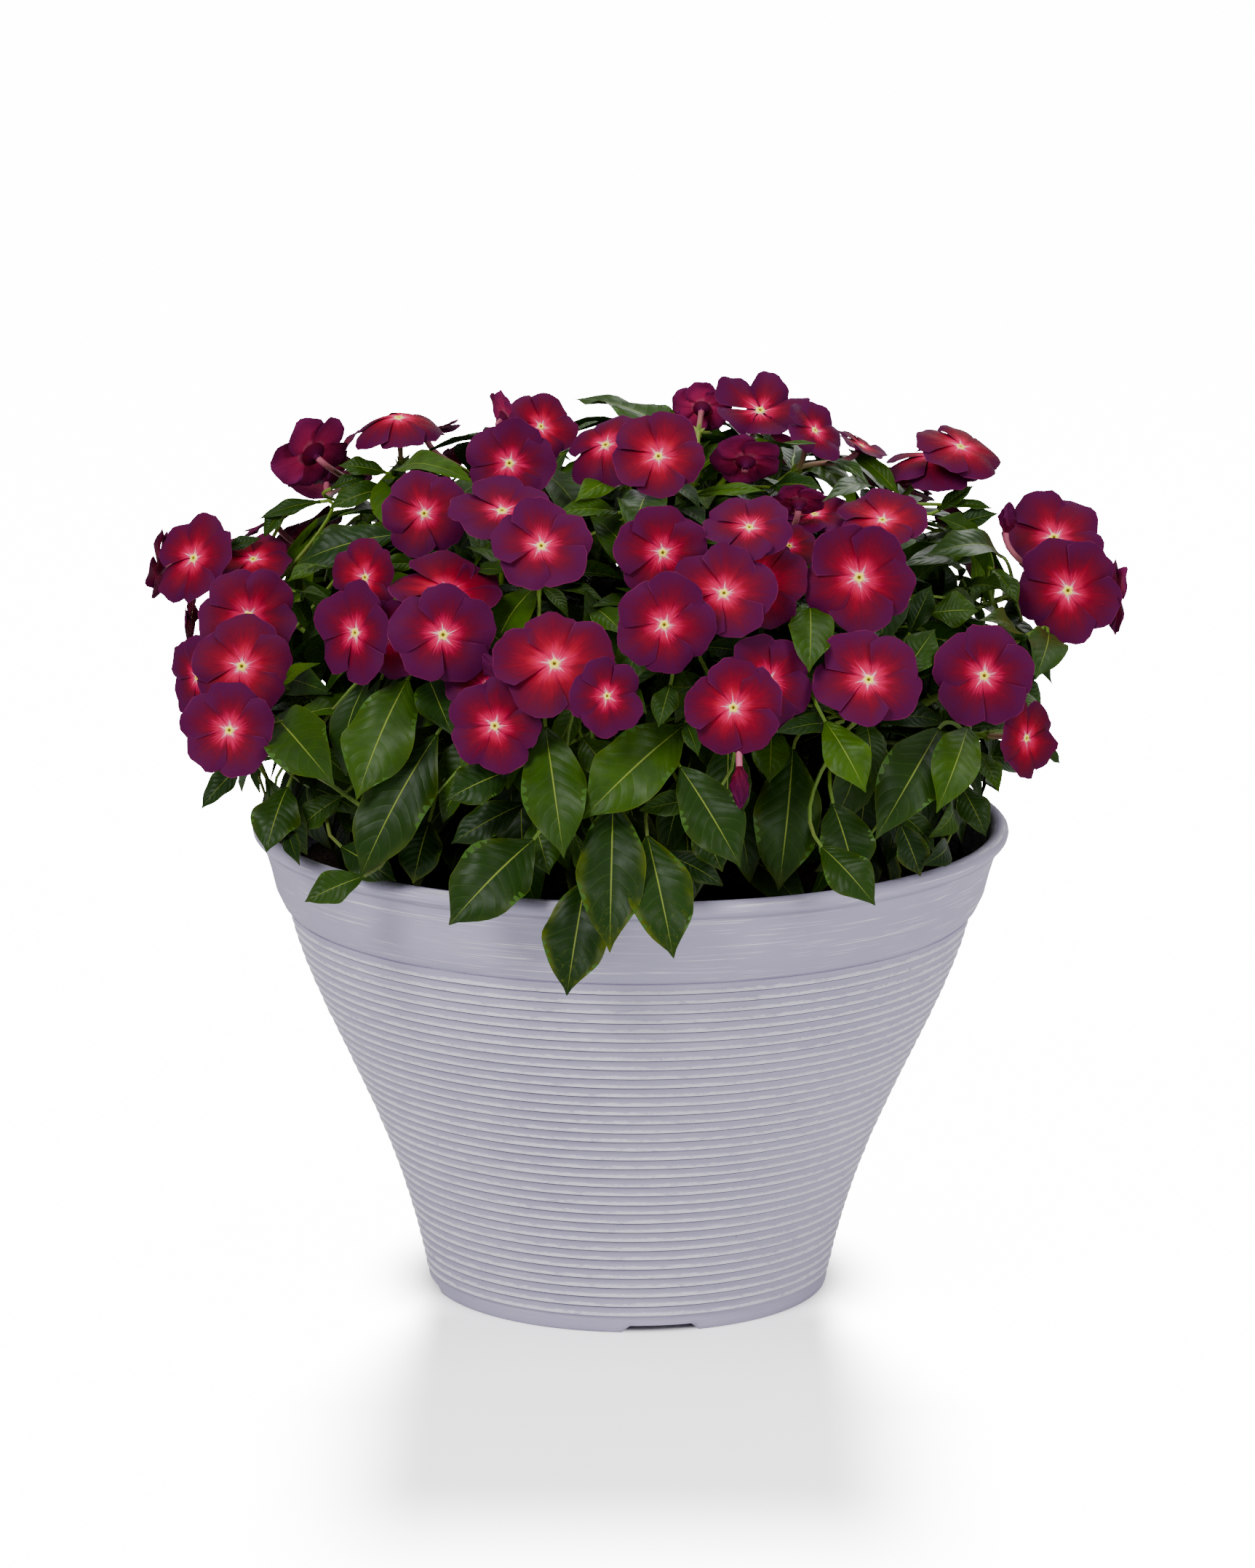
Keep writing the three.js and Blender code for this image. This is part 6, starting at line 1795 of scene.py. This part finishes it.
def knot_leaf(curve, share, turn, attempt, number):
    """A leaf at a knot of a branch, turned round it by turn, and smaller with every further attempt."""
    joint = curve.point(share)
    tangent = curve.tangent(share)
    level, other = across_of(tangent)
    outward = unit(joint - DOME_CENTRE)
    salt = 60 + attempt * 5
    turn = turn + spread(number, salt, 0.5 + attempt * 0.4)
    along = level * math.cos(turn) + other * math.sin(turn) + tangent * (0.5 - 0.2 * attempt)
    sink = KNOT_SINK + KNOT_SINK_SPREAD * draw(number, salt + 1)
    along = along + outward * KNOT_OUTWARD - UP * sink
    length = FILL_LENGTH[0] + (FILL_LENGTH[1] - FILL_LENGTH[0]) * share
    length = (length + spread(number, salt + 2, FILL_LENGTH_SPREAD)) * (1 - KNOT_SHRINKS * attempt)
    face = UP + outward * KNOT_FACES_OUTWARD + level * spread(number, salt + 3, 0.35)
    return loose_leaf(joint, joint + unit(along) * KNOT_STALK, along, face, length, number)


def knot_leaves(plant):
    """Pairs of leaves at the knots of every branch, each pair across the last, where they stand free."""
    leaves = []
    for index, branch in enumerate(plant["skeleton"] + plant["trunks"]):
        curve = branch["curve"]
        reach = distance(curve.point(0), curve.point(1))
        for knot in range(int((reach - FILL_FIRST) / FILL_STEP)):
            share = (FILL_FIRST + knot * FILL_STEP) / reach
            for hand in range(2):
                number = FILL_INDEX + index * 100 + knot * 2 + hand
                turn = knot * math.pi / 2 + hand * math.pi
                tries = (knot_leaf(curve, share, turn, attempt, number) for attempt in range(KNOT_TRIES))
                leaf = next((leaf for leaf in tries if stands_free(leaf, plant)), None)
                if leaf:
                    leaves.append(leaf)
    return leaves


def loose_leaf(joint, base, along, face, length, number):
    along = unit(along)
    leaf = {"joint": joint, "base": base, "along": along, "tip": base + along * length}
    leaf["face"] = unit(face - along * (face @ along))
    leaf["width"] = length * FILL_WIDTH_SHARE * (1 + spread(number, 64, 0.15))
    return leaf_nature(leaf, number)


def cloak_leaf(joint, place, outward, attempt, number):
    """A leaf about a place of the crown, on a twig from joint, and smaller with every further attempt."""
    salt = 91 + attempt * 7
    length = (CLOAK_LENGTH + spread(number, salt, CLOAK_LENGTH_SPREAD)) * (1 - CLOAK_SHRINKS * attempt)
    ahead = unit(place - joint)
    aside = np.array([spread(number, salt + way, 0.35 + 0.2 * attempt) for way in (1, 2, 3)])
    along = ahead + aside + outward * CLOAK_OUTWARD - UP * CLOAK_SINK
    base = joint + ahead * max(distance(place, joint) - length * 0.5, CLOAK_TWIG)
    tilt = np.array([spread(number, salt + way, 0.4) for way in (4, 5, 6)])
    return loose_leaf(joint, base, along, outward + UP * CLOAK_FACES_UP + tilt, length, number)


def cloak_leaves(plant, others):
    """Leaves that cloak the crown in layers from all sides, each on a twig from the nearest branch."""
    shares = np.linspace(0.3, 1, 15)
    branches = plant["skeleton"] + plant["trunks"]
    forks = np.array([branch["curve"].point(share) for branch in branches for share in shares])
    middles = [(leaf["base"] + leaf["tip"]) / 2 for leaf in others]
    leaves = []
    for layer, (shell, count) in enumerate(CLOAK_LAYERS):
        for at in range(count):
            number = CLOAK_INDEX + layer * 1000 + at
            rise = CLOAK_LOWEST + (1 - CLOAK_LOWEST) * (at + 0.5) / count
            level = math.sqrt(1 - rise * rise)
            turn = at * GOLDEN_ANGLE + layer
            outward = np.array([level * math.cos(turn), level * math.sin(turn), rise])
            place = DOME_CENTRE + outward * DOME_RADII * (shell + spread(number, 90, CLOAK_WANDER))
            reaches = np.linalg.norm(forks - place, axis=1)
            if reaches.min() > CLOAK_REACH or reaches.min() < CLOAK_NEAREST:
                continue
            joint = forks[int(reaches.argmin())]
            for attempt in range(CLOAK_TRIES):
                leaf = cloak_leaf(joint, place, outward, attempt, number)
                middle = (leaf["base"] + leaf["tip"]) / 2
                crowded = middles and np.linalg.norm(np.array(middles) - middle, axis=1).min() < CLOAK_SPACING
                if not crowded and stands_free(leaf, plant):
                    leaves.append(leaf)
                    middles.append(middle)
                    break
    return leaves


def small_leaves(plant):
    """The smaller leaves as seen, each on a stalk from the nearest branch."""
    leaves = []
    for index, reading in enumerate(SMALL_LEAVES):
        leaf = seen_leaf(reading, 0)
        leaf["joint"] = joints(plant["skeleton"], leaf["base"])[0][1]
        leaves.append(leaf_nature(leaf, SMALL_INDEX + index))
    return leaves


def make_small(leaves, materials):
    skin = Skin("small_leaves", materials)
    for leaf in leaves:
        add_leaf(skin, leaf)
        add_leaf_stalk(skin, leaf)
    return skin.build()


def make_twigs(leaves, materials):
    skin = Skin("crown_twigs", materials)
    for leaf in leaves:
        radii = (LEAF_STALK_RADIUS, LEAF_STALK_RADIUS * 0.8)
        tone = (leaf["tone"], 0.3)
        add_rod(skin, leaf_stalk_curve(leaf), radii, STALK_SLOT, tone, sides=TWIG_SIDES, steps=4)
    return skin.build()


def unit_leaf(materials):
    """One leaf of length 1 along +Y and width 1, with a short stalk, to be repeated."""
    share, side, places = blade_grid(FILL_ROWS, FILL_COLUMNS)
    half = np.maximum(0.5 * leaf_half_width(share), UNIT_HALF_WIDTH)
    arch = LEAF_ARCH * 4 * share * (1 - share) - UNIT_TIP_DROP * share ** 3
    fold = np.abs(side) ** 1.3 * half * UNIT_FOLD
    top = np.stack([side * half, share, arch + fold], axis=-1)
    top[0, :, 1] = -UNIT_STALK
    under = top - UP * UNIT_THICKNESS
    skin = Skin("unit_leaf", materials)
    add_blade(skin, top / MM, under / MM, places, LEAF_SLOT, (0.5, 0.5))
    piece = skin.build()
    piece.data.attributes.remove(piece.data.attributes["tone"])
    return piece


def make_fill(leaves, materials):
    """Sets the unit leaf at every place of the list."""
    mesh = bpy.data.meshes.new("crown_leaves")
    mesh.from_pydata([tuple(leaf["base"] * MM) for leaf in leaves], [], [])
    turns = []
    sizes = []
    for leaf in leaves:
        across = np.cross(leaf["along"], leaf["face"])
        matrix = Matrix(np.column_stack([across, leaf["along"], leaf["face"]]).tolist())
        turns.extend(matrix.to_euler("XYZ"))
        length = distance(leaf["base"], leaf["tip"]) * MM
        sizes.extend((leaf["width"] * MM, length, length))
    tones = [value for leaf in leaves for value in (leaf["tone"], leaf["age"], 0.0)]
    for name, values in (("turn", turns), ("size", sizes), ("tone", tones)):
        carry(mesh, name, values, "FLOAT_VECTOR")
    piece = add_object("crown_leaves", mesh)
    pattern = unit_leaf(materials)
    made = Growth("leaves_on_knots")
    made.add_input("Leaf", "NodeSocketObject", pattern)
    shape = made.node("GeometryNodeObjectInfo", {"Object": made.entry["Leaf"]}).outputs["Geometry"]
    turn, size = made.stored("turn", "FLOAT_VECTOR"), made.stored("size", "FLOAT_VECTOR")
    placed = made.place_copies(made.given("Geometry"), shape, turn, size, materials[LEAF_SLOT])
    piece = made.run(piece, placed)
    bpy.data.objects.remove(pattern)
    piece.data.set_sharp_from_angle(angle=math.radians(60))
    return piece


# The plant's pieces

STEM_KNOTS = [0.3, 0.5, 0.7, 0.88]
BUD_PROFILE = [(0.0, 0.8), (0.2, 1.3), (0.5, 1.7), (0.75, 1.4), (0.92, 0.8), (1.0, 0.3)]
BUD_FOLDS = 5
BUD_FOLD_DEPTH = 0.12
BUD_TWIST = 1.2


def make_foliage(stem, plant, materials):
    """One stem with its stalks, leaves, leaf stalks, sepals and buds."""
    skin = Skin(f"shoots_{stem + 1}", materials)
    trunk = plant["trunks"][stem]["curve"]
    root = stem_root(stem)
    buried = Curve(root - UP * STEM_ROOT_DEPTH, root, trunk.point(0))
    add_rod(skin, buried, (STEM_ROOT_RADIUS, STEM_ROOT_RADIUS), STALK_SLOT, (0.5, 0.9), 10, 3)
    add_rod(skin, trunk, (STEM_ROOT_RADIUS, STEM_TOP_RADIUS), STALK_SLOT, (0.5, 0.6), 10, 24, STEM_KNOTS)
    for index, branch in enumerate(plant["skeleton"]):
        if branch["stem"] == stem:
            add_rod(skin, branch["curve"], branch["radii"], STALK_SLOT, (0.5, 0.4), 8, 20, PAIR_SHARES)
            add_sepals(skin, branch["curve"].point(1), branch["direction"], index)
    for number, leaf in enumerate(plant["seen"] + plant["pairs"]):
        if leaf["stem"] == stem:
            leaf_nature(leaf, number)
            add_leaf(skin, leaf)
            add_leaf_stalk(skin, leaf)
    for bud in plant["buds"]:
        if bud["stem"] == stem:
            folds = {"flutes": BUD_FOLDS, "depth": BUD_FOLD_DEPTH, "twist": BUD_TWIST}
            add_turned(skin, bud["base"], bud["tip"], BUD_PROFILE, STALK_SLOT, (0.6, 0.2), **folds)
    piece = skin.build()
    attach(piece, "root")
    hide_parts(f"leafy_stem_{stem + 1}")
    return piece


WILTED_PLACE = 0.55
WILTED_WIDTH = 0.8
WILTED_FOLD_DEPTH = 0.6
WILTED_TWIST = 2.4
TUBE_BULGE = 0.12
WILTED_PROFILE = [(0.0, 0.10), (0.1, 0.22), (0.28, 0.5), (0.5, 0.62), (0.72, 0.5), (0.9, 0.26), (1.0, 0.08)]


def add_tube(skin, bunch, start, direction, bulges=()):
    """The thin tube of a bloom, from behind its petals to the end of the bunch's stalk."""
    curve = tube_curve(start, direction, bunch["end"], bunch["direction"])
    add_rod(skin, curve, (TUBE_RADIUS, TUBE_END_RADIUS), TUBE_SLOT, (0.5, 0.5), steps=12, bulges=bulges)


def make_bunch(bunch, materials):
    """The blooms of one bunch with their eyes and tubes, and what hangs wilted or furled beside them."""
    skin = Skin(f"petals_{bunch['name']}", materials)
    for bloom in bunch["blooms"]:
        add_petals(skin, bloom)
        add_throat(skin, bloom)
        add_eye(skin, bloom)
        backward = -facing(bloom["yaw"], bloom["pitch"])
        add_tube(skin, bunch, bloom["centre"] + backward * THROAT_DEPTH, backward, [TUBE_BULGE])
    for at, wilt in enumerate(bunch["wilted"]):
        top, low = wilt["top"], wilt["low"]
        profile = [(share, radius * wilt["width"] * WILTED_WIDTH) for share, radius in WILTED_PROFILE]
        tone = (draw(bunch["index"], 71 + at), 0.5)
        folds = {"flutes": PETAL_COUNT, "depth": WILTED_FOLD_DEPTH, "twist": WILTED_TWIST}
        add_turned(skin, top, low, profile, PETAL_SLOT, tone, sides=30, first=WILTED_PLACE, **folds)
        add_tube(skin, bunch, top + (low - top) * WILTED_TUBE_START, unit(top - low))
    piece = skin.build()
    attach(piece, "root")
    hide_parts(f"bloom_{bunch['name']}")
    return piece


# Floor, light and camera

FLOOR_SIZE = 30.0
GLOW = 15.0
GLOW_FROM = 0.088
GLOW_TO = 0.135
SHADE_CORE = 0.085
SHADE_EDGE = 0.082
SHADE_WIDENING = 0.42
SHADE_WIDEST = 0.17
SHADE_WHOLE_FROM = 0.08
SHADE_WHOLE_TO = 0.31
SHADE_END = 0.515
SHADE_GLOW = 1.0
SHADE_BRIGHTENING = 4.6
SHADE_BRIGHTEST = 1.76
WORLD_LIGHT = 0.42
LIGHTS = [
    {"name": "key", "place": (-1.5, -2.2, 2.4), "aim": 0.25, "size": 1.3, "watts": 100},
    {"name": "fill", "place": (1.9, -1.8, 1.3), "aim": 0.2, "size": 1.3, "watts": 32},
    {"name": "top", "place": (0.2, 0.3, 2.6), "aim": 0.3, "size": 1.2, "watts": 26},
    {"name": "back", "place": (0.9, 2.3, 1.5), "aim": 0.25, "size": 1.3, "watts": 18},
]


def stage_material():
    """A pale floor, white away from the pot, with a painted reflection of the pot in front: a soft darker
    band that is paler the further it runs. Its glow shows, but doesn't light the plant."""
    made = Material("studio_floor", Specular_IOR_Level=0.4)
    spot = made.coordinates()
    grain = made.noise(spot, 2.0, 2.0)
    colour = made.mix(grain, (0.80, 0.80, 0.82, 1.0), (0.82, 0.82, 0.84, 1.0))
    far = made.vector_math("LENGTH", spot)
    glow = made.smooth(far, GLOW_FROM, GLOW_TO, 0.0, GLOW)
    aside, behind = made.split(spot)[:2]
    ahead = -behind
    # Painted reflection of the pot: in a band in front the glow drops to a dimmer glow, which brightens
    # further out
    edge = made.math("MINIMUM", ahead * SHADE_WIDENING + SHADE_EDGE, SHADE_WIDEST)
    shade = made.smooth(abs(aside), edge, SHADE_CORE)
    shade = shade * made.smooth(ahead, SHADE_END, SHADE_WHOLE_TO) * made.smooth(ahead, 0.0, SHADE_WHOLE_FROM)
    dim = made.math("MINIMUM", ahead * SHADE_BRIGHTENING + SHADE_GLOW, SHADE_BRIGHTEST)
    dim = dim * made.smooth(far, GLOW_FROM, GLOW_FROM + 0.01)
    glow = glow + (dim - glow) * shade
    shown = made.node("ShaderNodeLightPath").outputs["Is Camera Ray"]
    made.shader.inputs["Emission Color"].default_value = (0.98, 0.985, 1.0, 1.0)
    return made.finish(Base_Color=colour, Roughness=grain * 0.1 + 0.16, Emission_Strength=glow * shown)


def make_stage():
    mesh = bpy.data.meshes.new("floor")
    half = FLOOR_SIZE / 2
    corners = [(-half, -half, 0), (half, -half, 0), (half, half, 0), (-half, half, 0)]
    mesh.from_pydata(corners, [], [(0, 1, 2, 3)])
    mesh.materials.append(stage_material())
    floor = add_object("floor", mesh)


def make_light():
    """An even pale surrounding and four round softboxes, each aimed at a height above the origin."""
    world = bpy.data.worlds.new("studio")
    world.use_nodes = True
    background = world.node_tree.nodes["Background"]
    background.inputs["Color"].default_value = (1.0, 1.0, 1.0, 1.0)
    background.inputs["Strength"].default_value = WORLD_LIGHT
    bpy.context.scene.world = world
    for kind in LIGHTS:
        light = bpy.data.lights.new(kind["name"], "AREA")
        light.shape = "DISK"
        light.size = kind["size"]
        light.energy = kind["watts"]
        lamp = add_object(kind["name"], light)
        lamp.location = kind["place"]
        aim = Vector((0, 0, kind["aim"])) - Vector(kind["place"])
        lamp.rotation_euler = aim.to_track_quat("-Z", "Y").to_euler()


def make_camera():
    data = bpy.data.cameras.new("camera")
    data.lens = FOCAL_PIXELS / PICTURE_HEIGHT * SENSOR
    data.sensor_width = SENSOR
    data.shift_x = (PICTURE_WIDTH / 2 - CENTRE_COLUMN) / PICTURE_HEIGHT
    data.shift_y = (CENTRE_ROW - PICTURE_HEIGHT / 2) / PICTURE_HEIGHT
    camera = add_object("camera", data)
    turned = Matrix.Rotation(math.pi / 2 - LOOK_DOWN, 4, "X") @ Matrix.Rotation(LOOK_ROLL, 4, "Z")
    camera.matrix_world = Matrix.Translation(Vector((STANDPOINT * MM).tolist())) @ turned
    bpy.context.scene.camera = camera


make_camera()
make_light()
make_stage()

pot = make_pot()
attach(pot, "root")
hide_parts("pot")
soil = make_soil()
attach(soil, "root")
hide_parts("soil")

plant = find_plant()
leaf_materials = [leaf_material(), stalk_material()]
for stem in range(STEM_COUNT):
    make_foliage(stem, plant, leaf_materials)
small = small_leaves(plant)
plant["crowd"] = crowd_of(plant, small)
knots = knot_leaves(plant)
cloak = cloak_leaves(plant, knots)
fill = make_fill(knots + cloak, leaf_materials)
for piece in (fill, make_twigs(cloak, leaf_materials), make_small(small, leaf_materials)):
    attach(piece, "root")
petal_materials = [petal_material(), tube_material(), eye_material(), dot_material()]
for bunch in plant["bunches"]:
    make_bunch(bunch, petal_materials)
